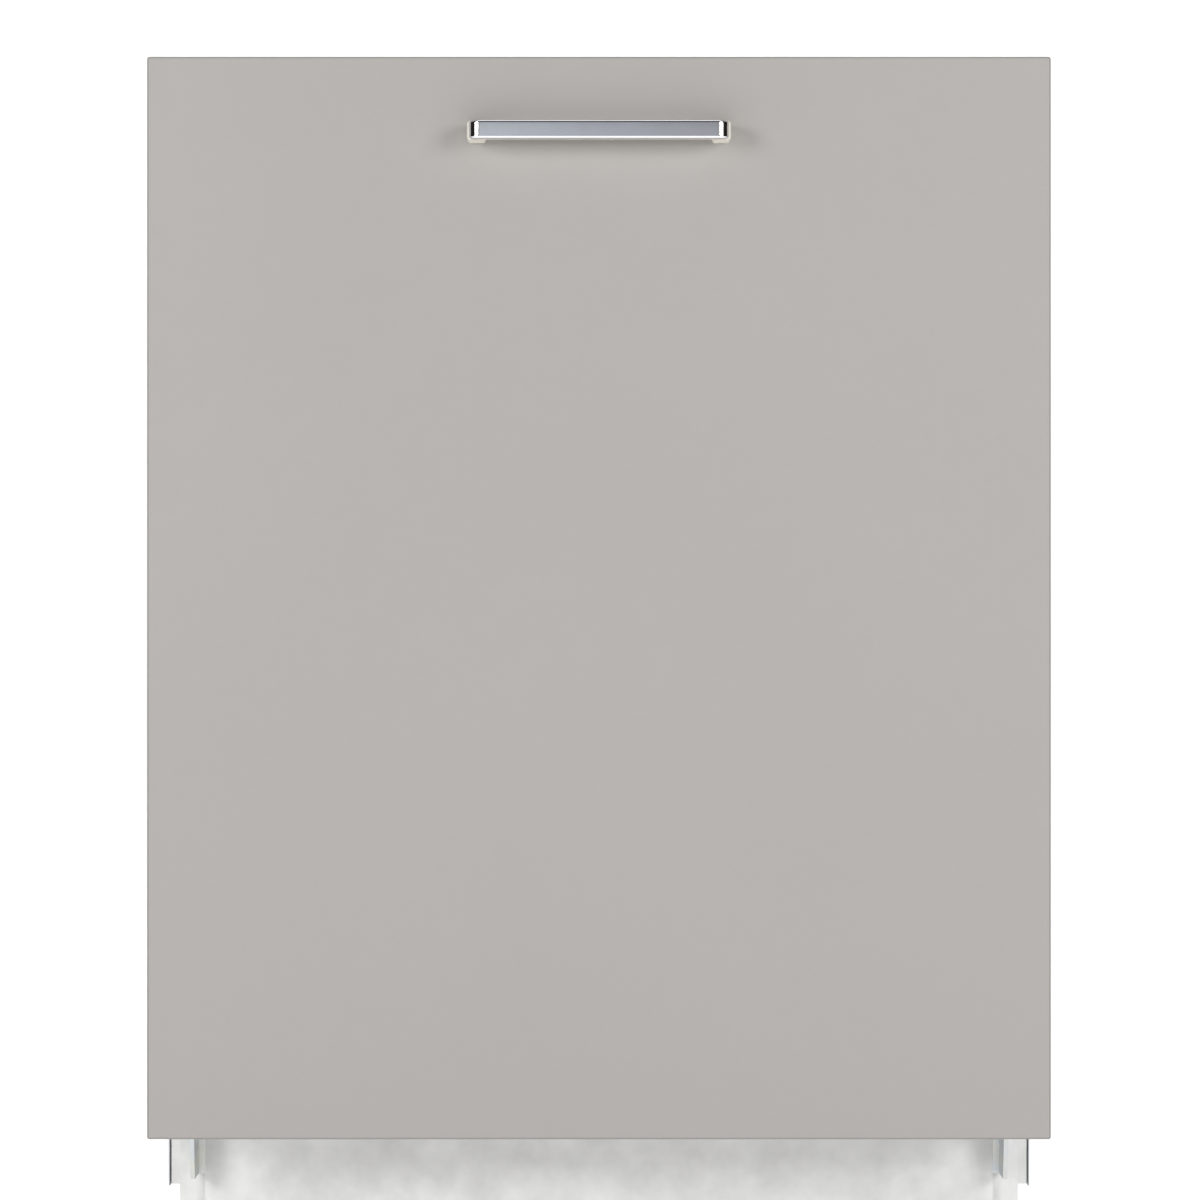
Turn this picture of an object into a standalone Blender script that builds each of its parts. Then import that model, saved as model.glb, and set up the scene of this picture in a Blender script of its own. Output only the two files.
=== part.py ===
"""Built-in dishwasher, 60 cm wide, behind a plain furniture front with a bow handle.

Lengths are metres.  X runs to the right seen from the front, Y from the front to the
back (the front faces -Y) and Z up.  The door turns about a line along X at its foot.
"""
import math

import bmesh
import bpy
from mathutils import Vector

# Outside of the machine
HEIGHT = 0.815
HALF_WIDTH = 0.299
FRONT_Y = -0.298
REAR_Y = 0.298

# Furniture front
PANEL_HALF_WIDTH = 0.2985
PANEL_FACE_Y = -0.271
PANEL_BACK_Y = -0.252
PANEL_FOOT_Z = 0.100
PANEL_EDGE = 0.0012

# Bow handle
HANDLE_HALF_LENGTH = 0.0865
HANDLE_TALL = 0.0125
HANDLE_DROP = 0.045
HANDLE_BAR = 0.008
HANDLE_LEG = 0.012
HANDLE_BEND = 0.010
SCREW_X = 0.0805
SCREW_SHANK = 0.002
SCREW_HEAD = 0.0042

# Door
HINGE_Y = -0.235
HINGE_Z = 0.115
DOOR_FOOT_Z = 0.132
SHEET_TOP_Z = 0.770
SHEET_FRONT_Y = -0.2517
SHEET = 0.001
DOOR_HALF_WIDTH = 0.2975
LINER_HALF_WIDTH = 0.2955
LINER_Y = -0.205
LINER_TOP_Z = 0.8095
POCKET_HALF_WIDTH = 0.245
POCKET_Y = -0.215
POCKET_FOOT_Z = 0.190
POCKET_TOP_Z = 0.740
FASCIA_TOP_Z = 0.8115
FASCIA_BACK_Y = -0.212

# Detergent dispenser in the door
DISPENSER_LEFT = -0.105
DISPENSER_RIGHT = 0.085
DISPENSER_FOOT_Z = 0.440
DISPENSER_TOP_Z = 0.665
DISPENSER_FACE_Y = -0.2118
CUP_LEFT = -0.090
CUP_RIGHT = -0.010
CUP_FOOT_Z = 0.460
CUP_TOP_Z = 0.580
RINSE_X = -0.055
RINSE_Z = 0.625
RINSE_RADIUS = 0.016

# Buttons along the top edge of the door
BUTTON_Y = -0.232
BUTTON_TOP_Z = 0.8127
BUTTON_STROKE = 0.0015

# Tub
TUB_HALF_WIDTH = 0.275
TUB_FRONT_Y = -0.200
TUB_BACK_Y = 0.270
TUB_FLOOR_Z = 0.1482
TUB_WALL_FOOT_Z = 0.1485
TUB_CEILING_Z = 0.795
TUB_SHEET = 0.0012
LIP_HALF_WIDTH = 0.287
LIP_TOP_Z = 0.802

# Base
BASE_HALF_WIDTH = 0.290
BASE_FRONT_Y = -0.160
BASE_BACK_Y = 0.290
BASE_FOOT_Z = 0.022
BASE_TOP_Z = 0.120
BASE_WALL = 0.003
FOOT_X = 0.260
FOOT_FRONT_Y = -0.130
FOOT_REAR_Y = 0.260
FOOT_STEM = 0.006

# Water parts
SPRAY_Y = 0.030
SUMP_RADIUS = 0.100
FILTER_X = 0.052
FILTER_Y = 0.012
FILTER_RADIUS = 0.034
SALT_X = -0.190
SALT_Y = -0.100

# Racks
WIRE = 0.004
RACK_FRONT_Y = -0.180
RACK_BACK_Y = 0.235
LOWER_FLOOR_Z = 0.215
LOWER_RIM_Z = 0.330
UPPER_FLOOR_Z = 0.530
UPPER_RIM_Z = 0.640
TRAY_FLOOR_Z = 0.735
TRAY_RIM_Z = 0.768
WHEEL_RADIUS = 0.0125
WHEEL_Z = 0.163
WHEEL_FRONT_Y = -0.060
WHEEL_REAR_Y = 0.190
TINE_Y = 0.060
TINE_Z = 0.2235

GAP = 0.0003

LOOKS = {
    "laminate": ((0.485, 0.462, 0.445), 0.0, 0.45),
    "chrome": ((0.75, 0.75, 0.76), 1.0, 0.12),
    "zinc": ((0.55, 0.56, 0.58), 1.0, 0.35),
    "galvanised": ((0.52, 0.54, 0.56), 1.0, 0.45),
    "stainless": ((0.62, 0.61, 0.60), 1.0, 0.25),
    "grey_plastic": ((0.25, 0.26, 0.27), 0.0, 0.45),
    "pale_plastic": ((0.62, 0.63, 0.64), 0.0, 0.40),
    "black_plastic": ((0.03, 0.03, 0.032), 0.0, 0.50),
    "blue_plastic": ((0.10, 0.22, 0.45), 0.0, 0.40),
    "rubber": ((0.03, 0.03, 0.03), 0.0, 0.75),
    "coated_wire": ((0.45, 0.46, 0.48), 0.0, 0.35),
}


def clear_scene():
    """Start from nothing."""
    for old in list(bpy.data.objects):
        bpy.data.objects.remove(old)


def new_collection(name):
    """A collection linked into the scene."""
    made = bpy.data.collections.new(name)
    bpy.context.scene.collection.children.link(made)
    return made


clear_scene()
MACHINE = new_collection("built_in_dishwasher")
TOOLS = new_collection("cutting_tools")


def painted(name, look):
    """A material of its own for one part."""
    colour, metal, rough = LOOKS[look]
    made = bpy.data.materials.new(name + "_" + look)
    made.use_nodes = True
    shader = made.node_tree.nodes["Principled BSDF"]
    shader.inputs["Base Color"].default_value = (*colour, 1.0)
    shader.inputs["Metallic"].default_value = metal
    shader.inputs["Roughness"].default_value = rough
    return made


def into_object(name, shape, pivot=(0.0, 0.0, 0.0)):
    """Turn a bmesh drawn in machine space into an object whose origin is the pivot."""
    bmesh.ops.recalc_face_normals(shape, faces=shape.faces)
    bmesh.ops.translate(shape, vec=-Vector(pivot), verts=shape.verts)
    mesh = bpy.data.meshes.new(name)
    shape.to_mesh(mesh)
    shape.free()
    made = bpy.data.objects.new(name, mesh)
    made.location = pivot
    return made


def part(name, shape, look, pivot=(0.0, 0.0, 0.0), smooth=False):
    """A finished subcomponent of the machine."""
    made = into_object(name, shape, pivot)
    MACHINE.objects.link(made)
    made.data.materials.append(painted(name, look))
    if smooth:
        made.data.shade_smooth()
    return made


def tool(name, shape):
    """A solid used only to cut or to fuse."""
    made = into_object(name, shape)
    TOOLS.objects.link(made)
    made.hide_render = True
    made.display_type = "WIRE"
    return made


def apply_tool(target, kind, name, shape):
    """Cut a tool out of a part, or fuse it on."""
    step = target.modifiers.new(name, "BOOLEAN")
    step.operation = kind
    step.solver = "EXACT"
    step.object = tool(name, shape)


def cut(target, name, shape):
    """Take a shape away from a part."""
    apply_tool(target, "DIFFERENCE", name, shape)


def fuse(target, name, shape):
    """Weld a shape onto a part."""
    apply_tool(target, "UNION", name, shape)


def soften(target, width, segments=2, degrees=40.0):
    """Small rounds on the sharp edges."""
    step = target.modifiers.new("edges", "BEVEL")
    step.width = width
    step.segments = segments
    step.limit_method = "ANGLE"
    step.angle_limit = math.radians(degrees)


def span(side, near, far):
    """X range from near to far off the centre line, on the right (1) or the left (-1)."""
    return (near, far) if side > 0 else (-far, -near)


def both_sides(near, far):
    """The same X range on the left and on the right."""
    return (span(-1, near, far), span(1, near, far))


def block_skin(blocks, voids=()):
    """One closed skin round overlapping blocks (x0, x1, y0, y1, z0, z1), less the voids."""
    every = list(blocks) + list(voids)
    cuts = []
    for axis in range(3):
        cuts.append(sorted({round(block[2 * axis + end], 6) for block in every for end in (0, 1)}))
    counts = [len(values) - 1 for values in cuts]

    def held(block, middle):
        return all(block[2 * axis] < middle[axis] < block[2 * axis + 1] for axis in range(3))

    solid = set()
    for i in range(counts[0]):
        for j in range(counts[1]):
            for k in range(counts[2]):
                cell = (i, j, k)
                middle = [(cuts[a][cell[a]] + cuts[a][cell[a] + 1]) / 2.0 for a in range(3)]
                if any(held(block, middle) for block in blocks):
                    if not any(held(block, middle) for block in voids):
                        solid.add(cell)

    shape = bmesh.new()
    corners = {}

    def corner(index):
        if index not in corners:
            corners[index] = shape.verts.new([cuts[a][index[a]] for a in range(3)])
        return corners[index]

    for cell in solid:
        for axis in range(3):
            for end in (0, 1):
                beside = list(cell)
                beside[axis] += 1 if end else -1
                if tuple(beside) in solid:
                    continue
                one = (axis + 1) % 3
                two = (axis + 2) % 3
                loop = []
                for step_one, step_two in ((0, 0), (1, 0), (1, 1), (0, 1)):
                    index = list(cell)
                    index[axis] += end
                    index[one] += step_one
                    index[two] += step_two
                    loop.append(corner(tuple(index)))
                shape.faces.new(loop if end else loop[::-1])
    bmesh.ops.dissolve_limit(shape, angle_limit=0.01, verts=shape.verts, edges=shape.edges)
    return shape


def block(x0, x1, y0, y1, z0, z1):
    """A single rectangular block."""
    return block_skin([(x0, x1, y0, y1, z0, z1)])


def laid(axis, along, first, second):
    """A point given along an axis and across it, in the order the axis calls for."""
    if axis == "X":
        return (along, first, second)
    if axis == "Y":
        return (first, along, second)
    return (first, second, along)


def turned(profile, axis, first, second, steps=32):
    """A solid turned from (radius, station) points round a line at (first, second)."""
    shape = bmesh.new()
    rings = []
    for radius, station in profile:
        if radius == 0.0:
            rings.append([shape.verts.new(laid(axis, station, first, second))])
            continue
        ring = []
        for index in range(steps):
            angle = 2.0 * math.pi * (index + 0.5) / steps
            across = first + radius * math.cos(angle)
            upward = second + radius * math.sin(angle)
            ring.append(shape.verts.new(laid(axis, station, across, upward)))
        rings.append(ring)
    pairs = list(zip(rings, rings[1:]))
    if len(rings[0]) > 1:
        pairs.append((rings[-1], rings[0]))
    for low, high in pairs:
        for index in range(steps):
            after = (index + 1) % steps
            loop = [low[index % len(low)], low[after % len(low)]]
            loop += [high[after % len(high)], high[index % len(high)]]
            loop = list(dict.fromkeys(loop))
            if len(loop) > 2:
                shape.faces.new(loop)
    return shape


def rod(axis, low, high, first, second, radius, steps=24):
    """A plain round bar."""
    return turned([(0.0, low), (radius, low), (radius, high), (0.0, high)], axis, first, second, steps)


def prism(outline, axis, low, high):
    """A flat outline of (first, second) points drawn out along an axis."""
    shape = bmesh.new()
    near = [shape.verts.new(laid(axis, low, *point)) for point in outline]
    far = [shape.verts.new(laid(axis, high, *point)) for point in outline]
    shape.faces.new(near)
    shape.faces.new(far[::-1])
    for index in range(len(outline)):
        after = (index + 1) % len(outline)
        shape.faces.new([near[index], near[after], far[after], far[index]])
    return shape


def arc(first, second, radius, start, end, steps):
    """Points on part of a circle, angles in degrees."""
    points = []
    for index in range(steps + 1):
        angle = math.radians(start + (end - start) * index / steps)
        points.append((first + radius * math.cos(angle), second + radius * math.sin(angle)))
    return points


# ---- furniture front and handle ----

def front_panel():
    """The kitchen's own front board, drilled from behind for the handle."""
    board = part("front_panel", block(-PANEL_HALF_WIDTH, PANEL_HALF_WIDTH, PANEL_FACE_Y,
                                      PANEL_BACK_Y, PANEL_FOOT_Z, HEIGHT), "laminate")
    screw_z = HEIGHT - HANDLE_DROP - HANDLE_TALL / 2.0
    for label, x in (("left", -SCREW_X), ("right", SCREW_X)):
        cut(board, "screw_hole_" + label,
            rod("Y", PANEL_FACE_Y - 0.002, PANEL_BACK_Y + 0.002, x, screw_z, SCREW_SHANK + GAP, 16))
        cut(board, "screw_sink_" + label,
            rod("Y", PANEL_BACK_Y - 0.0045, PANEL_BACK_Y + 0.003, x, screw_z, SCREW_HEAD + GAP, 16))
    soften(board, PANEL_EDGE)


def handle_outline():
    """The bow seen from above: a bar with rounded bends into two legs."""
    heel = PANEL_FACE_Y - GAP
    bend = HANDLE_HALF_LENGTH - HANDLE_BEND
    inner = HANDLE_HALF_LENGTH - HANDLE_LEG
    hollow = FRONT_Y + HANDLE_BAR
    small = 0.004
    right = [(inner, heel), (HANDLE_HALF_LENGTH, heel)]
    right += arc(bend, FRONT_Y + HANDLE_BEND, HANDLE_BEND, 0.0, -90.0, 6)
    left = [(-x, y) for x, y in reversed(right)]
    hollow_left = arc(-inner + small, hollow + small, small, 180.0, 270.0, 3)
    hollow_right = [(-x, y) for x, y in reversed(hollow_left)]
    return right + left + hollow_left + hollow_right


def handle():
    """Bow handle and the two screws that hold it through the board."""
    top = HEIGHT - HANDLE_DROP
    low = top - HANDLE_TALL
    middle = (top + low) / 2.0
    bow = part("handle_bow", prism(handle_outline(), "Z", low, top), "chrome")
    tip = PANEL_FACE_Y - 0.011
    for label, x in (("left", -SCREW_X), ("right", SCREW_X)):
        cut(bow, "thread_" + label,
            rod("Y", tip - 0.001, PANEL_FACE_Y + 0.002, x, middle, SCREW_SHANK + GAP, 16))
        back = PANEL_BACK_Y - 0.0004
        profile = [(0.0, tip), (SCREW_SHANK, tip), (SCREW_SHANK, back - 0.0034),
                   (SCREW_HEAD, back - 0.0030), (SCREW_HEAD, back), (0.0, back)]
        part("handle_screw_" + label, turned(profile, "Y", x, middle, 16), "zinc", smooth=False)
    soften(bow, 0.0010, 2, 60.0)


def panel_bracket(label, x):
    """Hook on the back of the board that drops behind a slot in the door sheet."""
    back = PANEL_BACK_Y + GAP
    hook = [(back, 0.640), (back, 0.700), (-0.2470, 0.700), (-0.2470, 0.626),
            (-0.2495, 0.626), (-0.2495, 0.640)]
    part("panel_bracket_" + label, prism(hook, "X", x - 0.015, x + 0.015), "zinc")


# ---- door ----

def door_outer_sheet():
    """Steel front of the door with its sides turned back, slotted for the hooks."""
    back = SHEET_FRONT_Y + SHEET
    blocks = [(-DOOR_HALF_WIDTH, DOOR_HALF_WIDTH, SHEET_FRONT_Y, back, DOOR_FOOT_Z, SHEET_TOP_Z)]
    for x0, x1 in both_sides(DOOR_HALF_WIDTH - SHEET, DOOR_HALF_WIDTH):
        blocks.append((x0, x1, SHEET_FRONT_Y, -0.210, DOOR_FOOT_Z, SHEET_TOP_Z))
    slots = []
    for x in (-0.230, 0.230):
        slots.append((x - 0.017, x + 0.017, -0.26, -0.24, 0.638, 0.702))
    part("door_outer_sheet", block_skin(blocks, slots), "galvanised")


def door_liner():
    """Stainless inside of the door: a pressed pocket, turned edges, a latch notch."""
    face = LINER_Y - SHEET
    wide = POCKET_HALF_WIDTH
    rim = LINER_HALF_WIDTH
    floor = POCKET_Y - SHEET
    blocks = [(-rim, rim, face, LINER_Y, DOOR_FOOT_Z, LINER_TOP_Z),
              (-wide - SHEET, wide + SHEET, floor, LINER_Y, POCKET_FOOT_Z - SHEET, POCKET_TOP_Z + SHEET),
              (-0.278, 0.278, -0.2500, LINER_Y, DOOR_FOOT_Z, DOOR_FOOT_Z + SHEET)]
    for x0, x1 in both_sides(rim - SHEET, rim):
        blocks.append((x0, x1, -0.230, LINER_Y, DOOR_FOOT_Z, LINER_TOP_Z))
    voids = [(-wide, wide, POCKET_Y, LINER_Y + 0.01, POCKET_FOOT_Z, POCKET_TOP_Z),
             (-0.030, 0.030, -0.22, LINER_Y + 0.01, 0.794, LINER_TOP_Z + 0.01),
             (DISPENSER_LEFT + 0.004, DISPENSER_RIGHT - 0.004, -0.23, LINER_Y + 0.01,
              DISPENSER_FOOT_Z + 0.004, DISPENSER_TOP_Z - 0.004)]
    part("door_liner", block_skin(blocks, voids), "stainless")


BUTTONS = {"power": -0.240, "eco": -0.110, "quick": -0.075, "start": 0.240}


def control_fascia():
    """Plastic strip along the top of the door that carries the buttons."""
    half = LINER_HALF_WIDTH - SHEET - 0.0008
    blocks = [(-half, half, SHEET_FRONT_Y, FASCIA_BACK_Y, SHEET_TOP_Z + GAP, FASCIA_TOP_Z)]
    voids = []
    for x in BUTTONS.values():
        voids.append((x - 0.0085, x + 0.0085, BUTTON_Y - 0.0060, BUTTON_Y + 0.0060, 0.8020, 0.82))
    strip = part("control_fascia", block_skin(blocks, voids), "black_plastic")
    soften(strip, 0.0008, 1)


def buttons():
    """Sprung push buttons standing just proud of the strip."""
    for label, x in BUTTONS.items():
        shape = block(x - 0.0080, x + 0.0080, BUTTON_Y - 0.0055, BUTTON_Y + 0.0055, 0.8040, BUTTON_TOP_Z)
        key = part("button_" + label, shape, "pale_plastic", (x, BUTTON_Y, 0.8040))
        soften(key, 0.0012, 2)


def door_latch():
    """Catch plate in the door's top edge, with the tongue that enters the strike."""
    blocks = [(-0.028, 0.028, FASCIA_BACK_Y + GAP, LINER_Y, 0.7948, 0.8088),
              (-0.009, 0.009, LINER_Y - 0.002, -0.190, 0.8030, 0.8085)]
    part("door_latch", block_skin(blocks), "grey_plastic")


def dispenser():
    """Detergent and rinse-aid unit let into the liner, with its lid and cap."""
    back = POCKET_Y + GAP
    blocks = [(DISPENSER_LEFT, DISPENSER_RIGHT, back, DISPENSER_FACE_Y, DISPENSER_FOOT_Z, DISPENSER_TOP_Z),
              (DISPENSER_LEFT + 0.006, DISPENSER_RIGHT - 0.006, -0.2450, DISPENSER_FACE_Y,
               DISPENSER_FOOT_Z + 0.006, DISPENSER_TOP_Z - 0.006)]
    cup = [(CUP_LEFT, CUP_RIGHT, -0.2400, -0.20, CUP_FOOT_Z, CUP_TOP_Z)]
    house = part("dispenser_housing", block_skin(blocks, cup), "grey_plastic")
    cut(house, "rinse_mouth", rod("Y", -0.2300, -0.2000, RINSE_X, RINSE_Z, RINSE_RADIUS - 0.003))

    lid_blocks = [(CUP_LEFT - 0.004, CUP_RIGHT + 0.004, -0.2114, -0.2090, CUP_FOOT_Z - 0.004,
                   CUP_TOP_Z + 0.004),
                  (CUP_LEFT + 0.006, CUP_LEFT + 0.018, -0.2095, -0.2072, CUP_FOOT_Z + 0.02,
                   CUP_TOP_Z - 0.02)]
    lid = part("dispenser_lid", block_skin(lid_blocks), "pale_plastic",
               ((CUP_LEFT + CUP_RIGHT) / 2.0, -0.2102, (CUP_FOOT_Z + CUP_TOP_Z) / 2.0))
    soften(lid, 0.0006, 1)

    cap_profile = [(0.0, -0.2250), (RINSE_RADIUS - 0.0036, -0.2250), (RINSE_RADIUS - 0.0036, -0.2114),
                   (RINSE_RADIUS, -0.2114), (RINSE_RADIUS, -0.2098), (0.0, -0.2098)]
    cap = part("rinse_aid_cap", turned(cap_profile, "Y", RINSE_X, RINSE_Z), "blue_plastic",
               (RINSE_X, -0.2114, RINSE_Z))
    fuse(cap, "rinse_grip", block(RINSE_X - 0.012, RINSE_X + 0.012, -0.2110, -0.2072,
                                  RINSE_Z - 0.002, RINSE_Z + 0.002))


def hinge_arm(label, side):
    """Door hinge arm with its pin."""
    inner, outer = 0.2835, 0.2865
    low, high = span(side, inner, outer)
    outline = arc(HINGE_Y, HINGE_Z, 0.011, 150.0, 390.0, 16)
    outline += [(-0.2255, 0.230), (-0.2445, 0.230)]
    arm = part("hinge_arm_" + label, prism(outline, "X", low, high), "zinc")
    pin_low, pin_high = span(side, 0.2720, 0.2850)
    fuse(arm, "pin_" + label, rod("X", pin_low, pin_high, HINGE_Y, HINGE_Z, 0.005, 20))


# ---- casing ----

def casing():
    """Side sheets, rear sheet and top cover."""
    for label, side in (("left", -1), ("right", 1)):
        blocks = [(*span(side, HALF_WIDTH - SHEET, HALF_WIDTH), -0.1995, 0.2960, 0.124, 0.8130),
                  (*span(side, HALF_WIDTH - SHEET, HALF_WIDTH), -0.1550, 0.2960, 0.050, 0.8130),
                  (*span(side, HALF_WIDTH - 0.010, HALF_WIDTH), -0.1995, -0.1985, 0.124, 0.8020),
                  (*span(side, HALF_WIDTH - 0.010, HALF_WIDTH), 0.2950, 0.2960, 0.124, 0.8020)]
        part("side_panel_" + label, block_skin(blocks), "galvanised")
    sheet = part("rear_panel", block(-0.297, 0.297, REAR_Y - SHEET, REAR_Y, 0.122, 0.812), "galvanised")
    cut(sheet, "inspection_hole", rod("Y", REAR_Y - 0.01, REAR_Y + 0.01, 0.150, 0.200, 0.030))

    blocks = [(-0.2965, 0.2965, -0.1995, 0.2945, HEIGHT - SHEET, HEIGHT)]
    for y0, y1 in ((-0.1995, -0.1985), (0.2935, 0.2945)):
        blocks.append((-0.2965, 0.2965, y0, y1, 0.8030, HEIGHT))
    for x0, x1 in both_sides(0.2955, 0.2965):
        blocks.append((x0, x1, -0.1995, 0.2945, 0.8030, HEIGHT))
    notch = [(-0.040, 0.040, -0.21, -0.19, 0.79, HEIGHT - SHEET)]
    part("top_cover", block_skin(blocks, notch), "galvanised")


def hinge_bracket(label, side):
    """Fixed hinge plate: an eye for the pin, a neck, and a flange on the base."""
    low, high = span(side, 0.2765, 0.2795)
    outline = arc(HINGE_Y, HINGE_Z, 0.012, 90.0, 270.0, 12)
    outline += [(-0.1960, HINGE_Z - 0.012), (-0.1880, 0.060), (-0.1605, 0.060), (-0.1605, HINGE_Z + 0.012)]
    plate = part("hinge_bracket_" + label, prism(outline, "X", low, high), "zinc")
    flange = (*span(side, 0.252, 0.278), -0.1636, -0.1605, 0.060, 0.118)
    fuse(plate, "bracket_flange_" + label, block(*flange))
    hole_low, hole_high = span(side, 0.270, 0.282)
    cut(plate, "pin_hole_" + label, rod("X", hole_low, hole_high, HINGE_Y, HINGE_Z, 0.0054, 24))


def door_spring(label, side):
    """Close-wound balance spring along the side of the base."""
    centre_x = side * 0.277
    centre_z = 0.080
    turns, per_turn, sides = 12, 8, 5
    start, length = -0.110, 0.200
    radius, wire = 0.0065, 0.0013
    shape = bmesh.new()
    rings = []
    for index in range(turns * per_turn + 1):
        angle = 2.0 * math.pi * index / per_turn
        along = start + length * index / (turns * per_turn)
        ring = []
        for step in range(sides):
            across = 2.0 * math.pi * step / sides
            reach = radius + wire * math.cos(across)
            ring.append(shape.verts.new((centre_x + reach * math.cos(angle),
                                         along + wire * math.sin(across),
                                         centre_z + reach * math.sin(angle))))
        rings.append(ring)
    shape.faces.new(rings[0])
    shape.faces.new(rings[-1][::-1])
    for low, high in zip(rings, rings[1:]):
        for step in range(sides):
            after = (step + 1) % sides
            shape.faces.new([low[step], low[after], high[after], high[step]])
    part("door_spring_" + label, shape, "zinc", smooth=True)


# ---- tub ----

def tub():
    """Stainless wrapper, tub floor, door gasket and latch strike."""
    wall = TUB_HALF_WIDTH + TUB_SHEET
    back = TUB_BACK_Y + TUB_SHEET
    roof = TUB_CEILING_Z + TUB_SHEET
    foot = TUB_WALL_FOOT_Z
    blocks = [(-wall, wall, TUB_FRONT_Y, back, TUB_CEILING_Z, roof),
              (-wall, wall, TUB_BACK_Y, back, foot, roof),
              (-LIP_HALF_WIDTH, LIP_HALF_WIDTH, TUB_FRONT_Y, TUB_FRONT_Y + TUB_SHEET, foot, LIP_TOP_Z)]
    for x0, x1 in both_sides(TUB_HALF_WIDTH, wall):
        blocks.append((x0, x1, TUB_FRONT_Y, back, foot, roof))
    mouth = [(-TUB_HALF_WIDTH, TUB_HALF_WIDTH, TUB_FRONT_Y - 0.01, TUB_FRONT_Y + 0.01, foot - 0.01,
              TUB_CEILING_Z),
             (-0.036, 0.036, TUB_FRONT_Y - 0.01, TUB_FRONT_Y + 0.01, roof, LIP_TOP_Z + 0.01)]
    part("tub_wrapper", block_skin(blocks, mouth), "stainless")

    floor = part("tub_floor", block(-0.279, 0.279, -0.1985, 0.2745, 0.1440, TUB_FLOOR_Z), "grey_plastic")
    cut(floor, "sump_mouth", rod("Z", 0.12, 0.17, 0.0, SPRAY_Y, SUMP_RADIUS - 0.002, 48))
    cut(floor, "salt_mouth", rod("Z", 0.12, 0.17, SALT_X, SALT_Y, 0.030, 32))

    low, high = 0.2772, 0.2862
    blocks = [(-high, high, -0.2045, -0.2003, 0.7955, 0.8015)]
    for x0, x1 in both_sides(low, high):
        blocks.append((x0, x1, -0.2045, -0.2003, 0.152, 0.8015))
    seal = part("door_gasket", block_skin(blocks), "rubber")
    soften(seal, 0.0012, 2)

    strike = [(-0.034, 0.034, -0.1984, -0.155, 0.7970, 0.8128)]
    hollow = [(-0.030, 0.030, -0.21, -0.160, 0.8000, 0.8112)]
    part("latch_strike", block_skin(strike, hollow), "zinc")


# ---- base ----

def base():
    """Plastic base pan with bosses for the feet, the toe plate and the four feet."""
    wall = BASE_WALL
    blocks = [(-BASE_HALF_WIDTH, BASE_HALF_WIDTH, BASE_FRONT_Y, BASE_BACK_Y, BASE_FOOT_Z, BASE_TOP_Z)]
    hollow = [(-BASE_HALF_WIDTH + wall, BASE_HALF_WIDTH - wall, BASE_FRONT_Y + wall, BASE_BACK_Y - wall,
               BASE_FOOT_Z + wall, BASE_TOP_Z + 0.01)]
    pan = part("base_pan", block_skin(blocks, hollow), "pale_plastic")
    for end, y in (("front", FOOT_FRONT_Y), ("rear", FOOT_REAR_Y)):
        for label, x in (("left", -FOOT_X), ("right", FOOT_X)):
            name = end + "_" + label
            fuse(pan, "boss_" + name, rod("Z", BASE_FOOT_Z + 0.001, 0.062, x, y, 0.012, 20))
            cut(pan, "bore_" + name, rod("Z", BASE_FOOT_Z - 0.01, 0.07, x, y, FOOT_STEM + 0.0008, 20))
            profile = [(0.0, 0.0), (0.019, 0.0), (0.020, 0.002), (0.020, 0.006), (0.010, 0.012),
                       (FOOT_STEM, 0.013), (FOOT_STEM, 0.105), (0.0, 0.105)]
            part("foot_" + name, turned(profile, "Z", x, y, 20), "pale_plastic", (x, y, 0.0))
    cut(pan, "inlet_hole", rod("Y", BASE_BACK_Y - 0.01, BASE_BACK_Y + 0.01, 0.200, 0.080, 0.0150, 24))
    toe = [(-0.272, 0.272, -0.1656, -0.1641, 0.020, 0.098), (-0.272, 0.272, -0.1740, -0.1641, 0.020, 0.0215)]
    part("toe_plate", block_skin(toe), "pale_plastic")


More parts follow.
